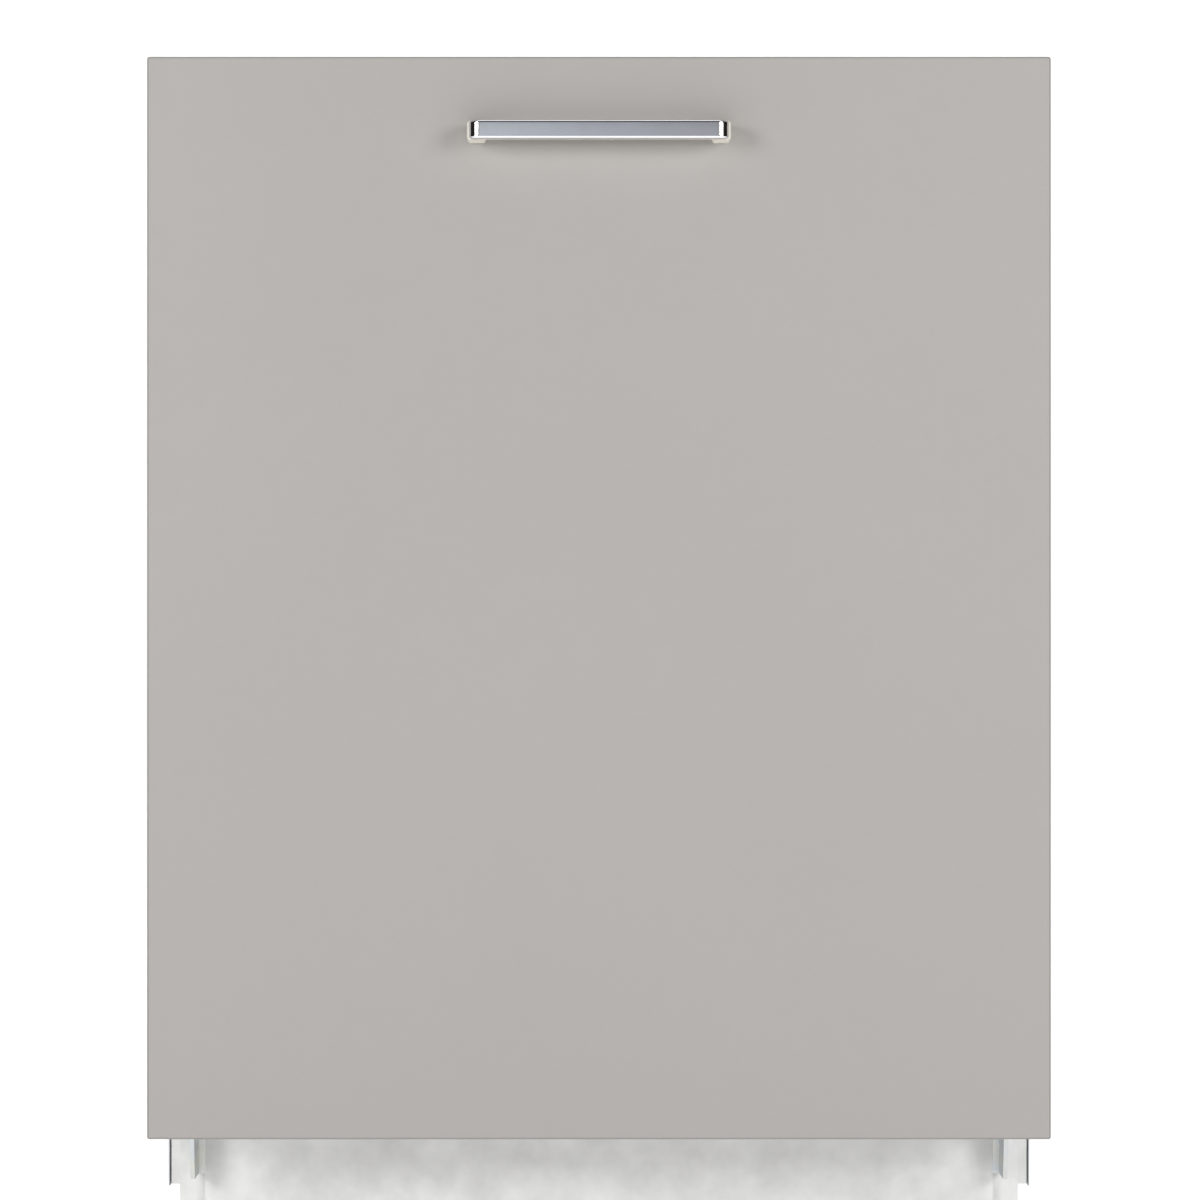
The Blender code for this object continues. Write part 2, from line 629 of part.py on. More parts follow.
def water_parts():
    """Sump, filters, pumps, softener, inlet valve and the pipe up the back."""
    bowl = [(0.0, 0.186), (0.009, 0.186), (0.009, 0.172), (0.014, 0.172), (0.014, 0.052), (0.0915, 0.052),
            (0.0965, 0.110), (0.0975, 0.1436), (0.112, 0.1436), (0.112, 0.1396), (0.1010, 0.1396),
            (0.0995, 0.110), (0.0950, 0.048), (0.0, 0.048)]
    part("sump", turned(bowl, "Z", 0.0, SPRAY_Y, 40), "grey_plastic", smooth=False)

    sieve = part("micro_filter", rod("Z", 0.1385, 0.1405, 0.0, SPRAY_Y, 0.0960, 48), "stainless")
    cut(sieve, "post_hole", rod("Z", 0.13, 0.15, 0.0, SPRAY_Y, 0.0155))
    cut(sieve, "filter_hole", rod("Z", 0.13, 0.15, FILTER_X, FILTER_Y, FILTER_RADIUS + 0.0008))

    cylinder = [(0.0, 0.062), (FILTER_RADIUS - 0.002, 0.062), (FILTER_RADIUS, 0.066), (FILTER_RADIUS, 0.1412),
                (FILTER_RADIUS + 0.003, 0.1412), (FILTER_RADIUS + 0.003, 0.1440),
                (FILTER_RADIUS - 0.003, 0.1440), (FILTER_RADIUS - 0.003, 0.067), (0.0, 0.067)]
    strainer = part("coarse_filter", turned(cylinder, "Z", FILTER_X, FILTER_Y), "grey_plastic",
                    (FILTER_X, FILTER_Y, 0.1440))
    fuse(strainer, "filter_grip", block(FILTER_X - 0.0325, FILTER_X + 0.0325, FILTER_Y - 0.003,
                                        FILTER_Y + 0.003, 0.128, 0.166))

    motor = [(0.0, -0.240), (0.030, -0.240), (0.034, -0.235), (0.034, -0.170), (0.040, -0.168),
             (0.040, -0.125), (0.020, -0.120), (0.020, -0.1040), (0.0, -0.1040)]
    part("circulation_pump", turned(motor, "X", SPRAY_Y, 0.080, 28), "black_plastic")
    small = [(0.0, 0.104), (0.014, 0.104), (0.014, 0.118), (0.026, 0.120), (0.026, 0.150),
             (0.019, 0.152), (0.019, 0.188), (0.0, 0.188)]
    part("drain_pump", turned(small, "X", -0.010, 0.075, 24), "grey_plastic")

    softener = part("water_softener", block(-0.240, -0.130, -0.148, -0.045, 0.030, 0.1434), "pale_plastic")
    fuse(softener, "salt_neck", rod("Z", 0.120, 0.1478, SALT_X, SALT_Y, 0.0285))
    cut(softener, "salt_bore", rod("Z", 0.100, 0.160, SALT_X, SALT_Y, 0.0225))
    lid = [(0.0, 0.125), (0.0215, 0.125), (0.0215, 0.1482), (0.0270, 0.1482), (0.0270, 0.1560),
           (0.0240, 0.1580), (0.0, 0.1580)]
    cap = part("salt_cap", turned(lid, "Z", SALT_X, SALT_Y), "blue_plastic", (SALT_X, SALT_Y, 0.1482))
    fuse(cap, "salt_grip", block(SALT_X - 0.021, SALT_X + 0.021, SALT_Y - 0.003, SALT_Y + 0.003, 0.150, 0.166))

    valve = [(0.0, 0.240), (0.016, 0.240), (0.016, 0.268), (0.0225, 0.270), (0.0225, 0.2855),
             (0.0130, 0.2860), (0.0130, 0.2975), (0.0095, 0.2975), (0.0095, 0.275), (0.0, 0.275)]
    part("inlet_valve", turned(valve, "Y", 0.200, 0.080, 24), "pale_plastic")

    blocks = [(-0.020, 0.020, 0.252, 0.268, 0.1490, 0.790), (-0.014, 0.014, 0.2395, 0.254, 0.511, 0.538)]
    mouth = [(-0.009, 0.009, 0.23, 0.250, 0.516, 0.533)]
    pipe = part("supply_pipe", block_skin(blocks, mouth), "grey_plastic")
    soften(pipe, 0.002, 2)


def spray_arm(name, half, low, bore_low, bore_high, top, bottom):
    """Turning spray arm: a hub with a bore and a flat tapered blade."""
    hub = turned([(0.0, bottom), (0.022, bottom), (0.024, bottom + 0.004), (0.024, top - 0.003),
                  (0.021, top), (0.0, top)], "Z", 0.0, SPRAY_Y, 28)
    arm = part(name, hub, "grey_plastic", (0.0, SPRAY_Y, low))
    wide, narrow = 0.022, 0.014
    outline = [(-half + 0.010, SPRAY_Y + narrow), (-half, SPRAY_Y), (-half + 0.010, SPRAY_Y - narrow),
               (0.0, SPRAY_Y - wide), (half - 0.010, SPRAY_Y - narrow), (half, SPRAY_Y),
               (half - 0.010, SPRAY_Y + narrow), (0.0, SPRAY_Y + wide)]
    fuse(arm, name + "_blade", prism(outline, "Z", low, low + 0.012))
    cut(arm, name + "_bore", rod("Z", bore_low, bore_high, 0.0, SPRAY_Y, 0.0105))


# ---- racks ----

def basket(half, floor, rim, across, along):
    """Wire blocks of an open basket: floor wires both ways, uprights and two rings."""
    front, back = RACK_FRONT_Y, RACK_BACK_Y
    blocks = []
    for index in range(across):
        x = -half + (2.0 * half - WIRE) * index / (across - 1)
        blocks.append((x, x + WIRE, front, back, floor, floor + WIRE))
        blocks.append((x, x + WIRE, front, front + WIRE, floor, rim))
        blocks.append((x, x + WIRE, back - WIRE, back, floor, rim))
    for index in range(along):
        y = front + (back - front - WIRE) * index / (along - 1)
        blocks.append((-half, half, y, y + WIRE, floor, floor + WIRE))
        blocks.append((-half, -half + WIRE, y, y + WIRE, floor, rim))
        blocks.append((half - WIRE, half, y, y + WIRE, floor, rim))
    for z in ((floor + rim) / 2.0, rim - WIRE):
        for y in (front, back - WIRE):
            blocks.append((-half, half, y, y + WIRE, z, z + WIRE))
        for x in (-half, half - WIRE):
            blocks.append((x, x + WIRE, front, back, z, z + WIRE))
    return blocks


def lower_rack():
    """Lower basket with wheel legs and axles, its wheels and the folding tine row."""
    half = 0.257
    blocks = basket(half, LOWER_FLOOR_Z, LOWER_RIM_Z, 7, 6)
    for y in (WHEEL_FRONT_Y, WHEEL_REAR_Y):
        for side in (-1, 1):
            x0, x1 = span(side, half - WIRE, half)
            blocks.append((x0, x1, y - 0.006, y + 0.006, WHEEL_Z - 0.006, LOWER_FLOOR_Z + WIRE))
            blocks.append((*span(side, half - 0.001, 0.2680), y - 0.002, y + 0.002,
                           WHEEL_Z - 0.002, WHEEL_Z + 0.002))
            blocks.append((*span(side, 0.2662, 0.2680), y - 0.004, y + 0.004,
                           WHEEL_Z - 0.004, WHEEL_Z + 0.004))
    for x in (-0.172, -0.087, 0.083, 0.168):
        blocks.append((x, x + WIRE, -0.097, -0.093, LOWER_FLOOR_Z, 0.290))
        blocks.append((x - 0.01, x + WIRE + 0.01, -0.097, -0.093, LOWER_FLOOR_Z, LOWER_FLOOR_Z + WIRE))
    part("lower_rack", block_skin(blocks), "coated_wire")

    tyre = [(0.0033, -0.004), (WHEEL_RADIUS - 0.001, -0.004), (WHEEL_RADIUS, -0.003),
            (WHEEL_RADIUS, 0.003), (WHEEL_RADIUS - 0.001, 0.004), (0.0033, 0.004)]
    for end, y in (("front", WHEEL_FRONT_Y), ("rear", WHEEL_REAR_Y)):
        for label, side in (("left", -1), ("right", 1)):
            middle = side * 0.2617
            profile = [(radius, middle + station) for radius, station in tyre]
            part("wheel_" + end + "_" + label, turned(profile, "X", y, WHEEL_Z, 24), "grey_plastic",
                 (middle, y, WHEEL_Z))

    row = [(-0.235, 0.235, TINE_Y - 0.002, TINE_Y + 0.002, TINE_Z - 0.002, TINE_Z + 0.002)]
    for index in range(9):
        x = -0.224 + index * 0.056
        row.append((x - 0.002, x + 0.002, TINE_Y - 0.002, TINE_Y + 0.002, TINE_Z - 0.002, 0.308))
    part("fold_tines", block_skin(row), "coated_wire", (0.0, TINE_Y, TINE_Z))


def upper_rack():
    """Upper basket with its runners, feed tube and the post the arm turns on."""
    half = 0.254
    blocks = basket(half, UPPER_FLOOR_Z, UPPER_RIM_Z, 7, 6)
    for side in (-1, 1):
        blocks.append((*span(side, 0.262, 0.2715), RACK_FRONT_Y, RACK_BACK_Y, 0.579, 0.595))
        for y in (-0.150, 0.020, 0.190):
            blocks.append((*span(side, half - WIRE, 0.263), y, y + 0.014, 0.581, 0.593))
    blocks.append((-0.010, 0.010, 0.020, 0.238, 0.519, UPPER_FLOOR_Z + WIRE))
    blocks.append((-0.006, 0.006, SPRAY_Y - 0.006, SPRAY_Y + 0.006, 0.500, UPPER_FLOOR_Z))
    part("upper_rack", block_skin(blocks), "coated_wire")


def cutlery_tray():
    """Shallow top tray on runners, its floor in slots with low ridges."""
    half = 0.254
    front, back = RACK_FRONT_Y, RACK_BACK_Y
    blocks = []
    for x0, x1 in both_sides(half - WIRE, half):
        blocks.append((x0, x1, front, back, TRAY_FLOOR_Z, TRAY_RIM_Z))
    for y in (front, back - WIRE):
        blocks.append((-half, half, y, y + WIRE, TRAY_FLOOR_Z, TRAY_RIM_Z))
    for index in range(1, 8):
        x = -half + 2.0 * half * index / 8.0
        blocks.append((x - 0.002, x + 0.002, front, back, TRAY_FLOOR_Z, TRAY_FLOOR_Z + 0.012))
    for index in range(1, 6):
        y = front + (back - front) * index / 6.0
        blocks.append((-half, half, y - 0.004, y + 0.004, TRAY_FLOOR_Z, TRAY_FLOOR_Z + 0.003))
    for side in (-1, 1):
        blocks.append((*span(side, 0.262, 0.2715), front, back, 0.746, 0.757))
        for y in (-0.150, 0.020, 0.190):
            blocks.append((*span(side, half - WIRE, 0.263), y, y + 0.014, 0.747, 0.756))
    part("cutlery_tray", block_skin(blocks), "grey_plastic")


def rails():
    """Channels on the tub walls in which the upper rack and the tray run."""
    for name, low, high in (("rail_", 0.575, 0.599), ("tray_rail_", 0.742, 0.761)):
        for label, side in (("left", -1), ("right", 1)):
            outer = (*span(side, 0.2645, 0.2747), -0.192, 0.262, low, high)
            inner = (*span(side, 0.2600, 0.2730), -0.200, 0.258, low + 0.002, high - 0.002)
            part(name + label, block_skin([outer], [inner]), "stainless")


def machine():
    """Every subcomponent, front to back."""
    front_panel()
    handle()
    panel_bracket("left", -0.230)
    panel_bracket("right", 0.230)
    door_outer_sheet()
    door_liner()
    control_fascia()
    buttons()
    door_latch()
    dispenser()
    for label, side in (("left", -1), ("right", 1)):
        hinge_arm(label, side)
        hinge_bracket(label, side)
        door_spring(label, side)
    casing()
    tub()
    base()
    water_parts()
    spray_arm("lower_spray_arm", 0.215, 0.190, 0.170, 0.1895, 0.205, 0.177)
    spray_arm("upper_spray_arm", 0.205, 0.494, 0.4965, 0.520, 0.514, 0.490)
    lower_rack()
    upper_rack()
    cutlery_tray()
    rails()


machine()
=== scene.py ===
# %% [markdown]
# # The looks of a built-in dishwasher
# A fully integrated dishwasher hides behind a plain kitchen front, so the front and its
# handle have to be right from close up, and everything behind them has to look like the
# machine it is once the door drops open. The frame that is loaded here already holds the
# true sizes and the moving bodies. Each step below either gives one of its parts a better
# finish, or puts a finer piece in its place.

import math

import bmesh
import bpy
from mathutils import Matrix, Vector


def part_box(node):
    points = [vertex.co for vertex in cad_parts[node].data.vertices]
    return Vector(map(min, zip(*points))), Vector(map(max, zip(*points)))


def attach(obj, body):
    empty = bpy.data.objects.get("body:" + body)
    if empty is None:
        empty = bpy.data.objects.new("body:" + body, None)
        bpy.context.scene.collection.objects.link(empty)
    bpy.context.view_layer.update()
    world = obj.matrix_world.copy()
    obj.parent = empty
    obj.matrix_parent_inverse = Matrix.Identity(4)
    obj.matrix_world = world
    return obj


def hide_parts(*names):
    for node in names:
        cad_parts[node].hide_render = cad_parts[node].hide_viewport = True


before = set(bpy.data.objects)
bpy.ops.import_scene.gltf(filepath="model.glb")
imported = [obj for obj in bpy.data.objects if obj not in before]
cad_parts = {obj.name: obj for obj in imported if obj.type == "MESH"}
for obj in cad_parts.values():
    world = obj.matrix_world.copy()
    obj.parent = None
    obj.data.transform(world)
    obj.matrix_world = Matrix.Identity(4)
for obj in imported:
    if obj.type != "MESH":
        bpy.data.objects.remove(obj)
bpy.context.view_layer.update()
studio = bpy.context.scene

# %% [markdown]
# ## The studio
# The front is looked at square on, from a couple of metres away with a long lens, so that
# its edges stay parallel. The camera is level with the middle of the board, and the lens
# is worked out from the width that has to fit in the frame at that distance.

# %% Camera
board_low, board_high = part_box("front_panel")
VIEW_WIDTH = 0.7925
VIEW_DISTANCE = 2.30
lens_camera = bpy.data.cameras.new("square_on")
lens_camera.sensor_width = 36.0
lens_camera.lens = 36.0 * VIEW_DISTANCE / VIEW_WIDTH
viewer = bpy.data.objects.new("square_on", lens_camera)
viewer.location = (0.0007, board_low.y - VIEW_DISTANCE, (board_low.z + board_high.z) / 2.0 - 0.0013)
viewer.rotation_euler = (math.radians(90.0), 0.0, 0.0)
studio.collection.objects.link(viewer)
studio.camera = viewer
studio.view_settings.view_transform = "Standard"
print("lens", round(lens_camera.lens, 1), "mm at", VIEW_DISTANCE, "m")

# %% [markdown]
# ## Shader sums in plain Python
# A procedural finish is mostly arithmetic on patterns. Wrapping a socket in a small class
# that knows plus, minus and times lets a finish be written as an expression, and each
# operator adds the Math node that does the sum. Any other node comes from one method,
# which sets the node's own settings first and then fills its sockets.

# %% The socket class
class Wire:
    """One output socket of a material, with arithmetic."""

    def __init__(self, tree, socket):
        self.tree = tree
        self.socket = socket

    def node(self, kind, settings=None, out=0, **inputs):
        """Add a node, set it up, join its inputs and hand back one of its outputs."""
        made = self.tree.nodes.new(kind)
        for name, value in (settings or {}).items():
            setattr(made, name, value)
        for name, value in inputs.items():
            key = int(name[1:]) if name[0] == "_" else name.replace("_", " ")
            if isinstance(value, Wire):
                self.tree.links.new(value.socket, made.inputs[key])
            else:
                made.inputs[key].default_value = value
        return Wire(self.tree, made.outputs[out])

    def sum(self, operation, first, second):
        """A Math node on two values."""
        return self.node("ShaderNodeMath", {"operation": operation}, _0=first, _1=second)

    def __add__(self, other):
        return self.sum("ADD", self, other)

    def __radd__(self, other):
        return self.sum("ADD", other, self)

    def __sub__(self, other):
        return self.sum("SUBTRACT", self, other)

    def __rsub__(self, other):
        return self.sum("SUBTRACT", other, self)

    def __mul__(self, other):
        return self.sum("MULTIPLY", self, other)

    def __rmul__(self, other):
        return self.sum("MULTIPLY", other, self)

    def __truediv__(self, other):
        return self.sum("DIVIDE", self, other)

    def above(self, edge):
        """1 where this is greater than the edge, 0 elsewhere."""
        return self.sum("GREATER_THAN", self, edge)

    def between(self, low, high):
        """Slide from 0 at low to 1 at high, held at both ends."""
        return self.node("ShaderNodeMapRange", {"clamp": True}, Value=self, From_Min=low, From_Max=high)

    def mix(self, low, high):
        """Blend two colours by this value."""
        settings = {"data_type": "RGBA", "clamp_factor": True}
        return self.node("ShaderNodeMix", settings, out=2, _0=self, _6=low, _7=high)


# %% [markdown]
# A finish starts from a Principled shader and the object's own coordinates, in metres,
# because the pieces sit at the origin and keep their real size. Sizes in a pattern can
# then be given the way a maker would: a grain of half a millimetre has a scale of 2000.

# %% Start a finish
def rgb(red, green, blue):
    """A colour socket value from linear parts."""
    return (red, green, blue, 1.0)


def start_finish(name, colour, rough, metal=0.0, coat=0.0, specular=0.5):
    """A new material: returns it, its place coordinates and its Principled shader."""
    finish = bpy.data.materials.new(name)
    finish.use_nodes = True
    tree = finish.node_tree
    shader = tree.nodes["Principled BSDF"]
    shader.inputs["Base Color"].default_value = rgb(*colour)
    shader.inputs["Roughness"].default_value = rough
    shader.inputs["Metallic"].default_value = metal
    shader.inputs["Coat Weight"].default_value = coat
    shader.inputs["Specular IOR Level"].default_value = specular
    places = tree.nodes.new("ShaderNodeTexCoord")
    return finish, Wire(tree, places.outputs["Object"]), shader


def feed(shader, socket, wire):
    """Join a worked-out value to one of the shader's sockets."""
    wire.tree.links.new(wire.socket, shader.inputs[socket])


def grain(place, scale, detail=3.0, rough=0.55, squeeze=(1.0, 1.0, 1.0)):
    """Noise of a given scale per metre, which may be squeezed along an axis."""
    mapped = place.node("ShaderNodeMapping", None, Vector=place, Scale=squeeze)
    return place.node("ShaderNodeTexNoise", None, Vector=mapped, Scale=scale, Detail=detail,
                      Roughness=rough)


def axis_of(place, axis):
    """One axis of the object's own coordinates."""
    return place.node("ShaderNodeSeparateXYZ", None, out="XYZ".index(axis), Vector=place)


def relief(shader, height, distance, strength=1.0):
    """Press a height pattern into the surface, with its depth in metres."""
    bump = height.node("ShaderNodeBump", None, Strength=strength, Distance=distance, Height=height)
    feed(shader, "Normal", bump)


# %% [markdown]
# ## The light
# The board is evenly lit with no glare, and the handle throws faint shadows to both sides
# and below, so there is a broad soft light left and right in front and a larger one high
# up. What the polished handle mirrors is the studio behind the camera: a cool grey that
# is a little lighter on the left, made with a world that changes with direction.

# %% World
def make_world():
    """A pale room, lighter to the sides and above than straight behind the camera."""
    world = bpy.data.worlds.new("pale_room")
    studio.world = world
    world.use_nodes = True
    tree = world.node_tree
    sky = tree.nodes["Background"]
    place = Wire(tree, tree.nodes.new("ShaderNodeTexCoord").outputs["Generated"])
    across, depth, up = [axis_of(place, axis) for axis in "XYZ"]
    behind = (depth * -1.0).between(0.90, 0.985)
    leftward = across.between(-0.034, 0.0).mix(rgb(1.28, 1.375, 1.46), rgb(1.0, 1.04, 1.13))
    cool = across.between(0.0, 0.034).mix(leftward, rgb(0.85, 0.865, 0.94))
    room = behind.mix(rgb(0.92, 0.90, 0.86), cool)
    soffit = up.between(0.155, 0.19) * (1.0 - up.between(0.88, 0.93)) * (depth * -1.0).between(0.05, 0.2)
    sideways = (across * across).between(0.64, 0.72) * (1.0 - depth.between(0.10, 0.25))
    dim = (soffit + sideways).mix(room, rgb(0.03, 0.027, 0.024))
    glance = Wire(tree, tree.nodes.new("ShaderNodeLightPath").outputs["Is Camera Ray"])
    shown = glance.mix(dim, rgb(2.3, 2.3, 2.3))
    tree.links.new(shown.socket, sky.inputs["Color"])
    sky.inputs["Strength"].default_value = 0.45


make_world()
print("world ready")


# %% Lamps
def soft_lamp(name, place, aim, width, height, power):
    """A rectangular lamp turned towards a point."""
    lamp = bpy.data.lights.new(name, "AREA")
    lamp.shape = "RECTANGLE"
    lamp.size = width
    lamp.size_y = height
    lamp.energy = power
    holder = bpy.data.objects.new(name, lamp)
    holder.location = place
    holder.rotation_euler = (Vector(aim) - Vector(place)).to_track_quat("-Z", "Y").to_euler()
    studio.collection.objects.link(holder)


soft_lamp("left_box", (-1.85, -2.2, 1.10), (0.0, -0.27, 0.5), 0.9, 0.9, 30.0)
soft_lamp("right_box", (1.85, -2.2, 1.10), (0.0, -0.27, 0.5), 0.9, 0.9, 30.0)
soft_lamp("top_box", (0.0, -0.9, 2.8), (0.0, -0.1, 0.4), 2.2, 1.4, 8.0)
print("three soft lamps placed")


# %% Floor and sweep
def studio_floor():
    """A pale floor that curves up behind into a wall, so that no horizon shows."""
    sheet = bmesh.new()
    start = sheet.verts.new((-6.0, -5.0, 0.0))
    grown = bmesh.ops.extrude_vert_indiv(sheet, verts=[start])
    edge = grown["edges"][0]
    bmesh.ops.translate(sheet, vec=(12.0, 0.0, 0.0), verts=grown["verts"])
    run = bmesh.ops.extrude_edge_only(sheet, edges=[edge])
    far = [item for item in run["geom"] if isinstance(item, bmesh.types.BMVert)]
    bmesh.ops.translate(sheet, vec=(0.0, 7.0, 0.0), verts=far)
    rim = [item for item in run["geom"] if isinstance(item, bmesh.types.BMEdge)]
    bmesh.ops.spin(sheet, geom=rim, cent=(0.0, 2.0, 1.5), axis=(1.0, 0.0, 0.0),
                   angle=math.radians(90.0), steps=16)
    bmesh.ops.remove_doubles(sheet, verts=sheet.verts, dist=0.0005)
    top = [edge for edge in sheet.edges if all(vert.co.z > 1.45 for vert in edge.verts)]
    wall = bmesh.ops.extrude_edge_only(sheet, edges=top)
    high = [item for item in wall["geom"] if isinstance(item, bmesh.types.BMVert)]
    bmesh.ops.translate(sheet, vec=(0.0, 0.0, 3.0), verts=high)
    mesh = bpy.data.meshes.new("studio_sweep")
    sheet.to_mesh(mesh)
    sheet.free()
    mesh.shade_smooth()
    floor = bpy.data.objects.new("studio_sweep", mesh)
    studio.collection.objects.link(floor)
    finish, place, shader = start_finish("pale_floor", (0.90, 0.90, 0.90), 0.9)
    tint = grain(place, 1.5, 2.0).between(0.3, 0.7).mix(rgb(0.90, 0.90, 0.90), rgb(0.92, 0.92, 0.92))
    feed(shader, "Base Color", tint)
    shader.inputs["Emission Color"].default_value = rgb(1.0, 1.0, 1.0)
    shader.inputs["Emission Strength"].default_value = 0.57
    mesh.materials.append(finish)
    return floor


studio_floor()
print("floor ready")

# %% [markdown]
# ## Finishes
# The board is melamine with a dead matt, almost even surface: what tells it from paint is
# a very fine orange-peel and a slight cloudiness in the print, so both are kept faint. A
# plastic band about a millimetre thick closes its edges; the outer 1.1 mm round the board
# is painted a shade darker, as painted shade for the dark line along the rounded rim.

# %% Laminate of the front
def laminate():
    """Matt melamine in a warm light grey, with a fine dimple and a faint cloud."""
    finish, place, shader = start_finish("matt_melamine", (0.384, 0.366, 0.353), 0.46, specular=0.35)
    cloud = grain(place, 5.0, 2.0).between(0.3, 0.7)
    speck = grain(place, 900.0, 2.0).between(0.35, 0.65)
    shade = cloud.mix(rgb(0.380, 0.362, 0.349), rgb(0.388, 0.370, 0.357))
    fine = speck.mix(rgb(0.374, 0.356, 0.343), rgb(0.394, 0.376, 0.363))
    blend = shade.node("ShaderNodeMix", {"data_type": "RGBA"}, out=2, _0=0.4, _6=shade, _7=fine)
    low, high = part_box("front_panel")
    across, up = axis_of(place, "X"), axis_of(place, "Z") - (low.z + high.z) / 2.0
    half, tall = high.x - 0.0011, (high.z - low.z) / 2.0 - 0.0011
    # Painted shade: the outer 1.1 mm round the board is darkened to stand in for the dark line along its
    # rounded rim.
    rim_shade_mask = (across * across).above(half * half) + (up * up).above(tall * tall)
    rim_shaded_colour = rim_shade_mask.between(0.0, 1.0).mix(blend, rgb(0.27, 0.26, 0.25))
    feed(shader, "Base Color", rim_shaded_colour)
    feed(shader, "Roughness", grain(place, 60.0) * 0.10 + 0.41)
    relief(shader, grain(place, 1400.0, 2.0), 0.00006, 0.35)
    return finish


# %% [markdown]
# Chrome is nearly a mirror. Polishing leaves hair-fine lines along the bar, and handling
# leaves soft smears, so the roughness wanders a little and a very shallow streak runs in X.
# Only the face and its two bends are polished chrome: from a few millimetres behind the face
# the metal is painted pale cream, dull and hardly metallic, a painted reflection that shows
# as a creamy rim round the bar and on the two legs.

# %% Chrome of the handle
def chrome():
    """Polished chrome with hair lines along the bar."""
    finish, place, shader = start_finish("polished_chrome", (0.82, 0.82, 0.84), 0.10, metal=1.0)
    smear = grain(place, 30.0, 3.0).between(0.35, 0.7)
    lines = grain(place, 1500.0, 2.0, squeeze=(0.02, 1.0, 1.0))
    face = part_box("handle_bow")[0].y
    # Painted reflection: behind the face the colour turns cream and the metal dull, standing in for the
    # bright rim the bar mirrors.
    painted_reflection_zone = axis_of(place, "Y").between(face + 0.0042, face + 0.0050)
    feed(shader, "Base Color", painted_reflection_zone.mix(rgb(0.82, 0.82, 0.84), rgb(0.84, 0.81, 0.72)))
    feed(shader, "Metallic", 1.0 - painted_reflection_zone * 0.88)
    feed(shader, "Roughness", smear * 0.05 + lines * 0.04 + painted_reflection_zone * 0.25 + 0.055)
    relief(shader, lines, 0.00001, 0.25)
    return finish


# %% [markdown]
# Hot-dip galvanised sheet shows spangle: flat crystals a centimetre or so across, each
# catching the light a little differently. A Voronoi pattern gives every crystal one random
# value, which sets its tone and its roughness.

# %% Galvanised sheet
def galvanised():
    """Zinc spangle on thin sheet, dulled by handling."""
    finish, place, shader = start_finish("galvanised_sheet", (0.55, 0.57, 0.58), 0.42, metal=1.0)
    bent = place.node("ShaderNodeTexNoise", None, out=1, Vector=place, Scale=60.0, Detail=1.0)
    warp = place.node("ShaderNodeVectorMath", {"operation": "SCALE"}, _0=bent, _3=0.010)
    moved = place.node("ShaderNodeVectorMath", {"operation": "ADD"}, _0=place, _1=warp)
    crystal = place.node("ShaderNodeTexVoronoi", None, out=1, Vector=moved, Scale=75.0)
    tone = place.node("ShaderNodeRGBToBW", None, Color=crystal)
    frost = grain(place, 1800.0, 2.0)
    shade = (tone * 0.75 + frost * 0.25).mix(rgb(0.385, 0.40, 0.415), rgb(0.475, 0.49, 0.50))
    feed(shader, "Base Color", shade)
    feed(shader, "Roughness", tone * 0.09 + grain(place, 9.0) * 0.10 + 0.36)
    relief(shader, frost, 0.00004, 0.3)
    return finish


# %% [markdown]
# Stainless sheet is brushed in one direction at the mill. Noise squeezed almost flat along
# that direction makes the brush lines. The tub is brushed from front to back, the door
# liner from side to side, so the squeeze is a choice.

# %% Stainless sheet
def stainless(name, squeeze):
    """Brushed stainless with water-spot clouding."""
    finish, place, shader = start_finish(name, (0.62, 0.61, 0.60), 0.26, metal=1.0)
    lines = grain(place, 3000.0, 4.0, squeeze=squeeze)
    cloud = grain(place, 7.0, 3.0).between(0.3, 0.75)
    shade = (lines * 0.5 + cloud * 0.5).mix(rgb(0.57, 0.56, 0.55), rgb(0.68, 0.67, 0.655))
    feed(shader, "Base Color", shade)
    feed(shader, "Roughness", lines * 0.10 + cloud * 0.08 + 0.19)
    relief(shader, lines, 0.000005, 0.12)
    return finish


# %% Zinc plate and bare springs
def zinc_plate():
    """Bright zinc plating with a faint straw and blue tint."""
    finish, place, shader = start_finish("zinc_plate", (0.62, 0.63, 0.65), 0.30, metal=1.0)
    tint = grain(place, 45.0, 2.0).between(0.35, 0.65)
    feed(shader, "Base Color", tint.mix(rgb(0.62, 0.61, 0.55), rgb(0.56, 0.60, 0.66)))
    feed(shader, "Roughness", grain(place, 220.0) * 0.18 + 0.22)
    relief(shader, grain(place, 1200.0, 2.0), 0.00003, 0.3)
    return finish


# %% [markdown]
# Moulded plastic carries the spark-eroded texture of its mould: dimples a few tenths of a
# millimetre across. The colour hardly changes, but the gloss does, where water and fingers
# have been. One function serves every plastic, with its own colour and coarseness.

# %% Moulded plastics and rubber
def moulded(name, colour, rough=0.42, texture=1500.0, depth=0.00005):
    """Satin moulded plastic with a mould texture and a slight mottling."""
    finish, place, shader = start_finish(name, colour, rough)
    mottle = grain(place, 38.0, 3.0).between(0.3, 0.7)
    dark = rgb(*[part * 0.90 for part in colour])
    pale = rgb(*[min(1.0, part * 1.08) for part in colour])
    feed(shader, "Base Color", mottle.mix(dark, pale))
    feed(shader, "Roughness", grain(place, 90.0) * 0.14 + (rough - 0.07))
    relief(shader, grain(place, texture, 2.0), depth, 0.5)
    return finish


def seal_rubber():
    """Black extruded rubber with a dusty bloom."""
    finish, place, shader = start_finish("seal_rubber", (0.018, 0.018, 0.019), 0.62)
    bloom = grain(place, 120.0, 4.0).between(0.45, 0.8)
    feed(shader, "Base Color", bloom.mix(rgb(0.016, 0.016, 0.017), rgb(0.045, 0.045, 0.046)))
    feed(shader, "Roughness", bloom * 0.2 + 0.52)
    relief(shader, grain(place, 2200.0, 2.0), 0.00004, 0.6)
    return finish


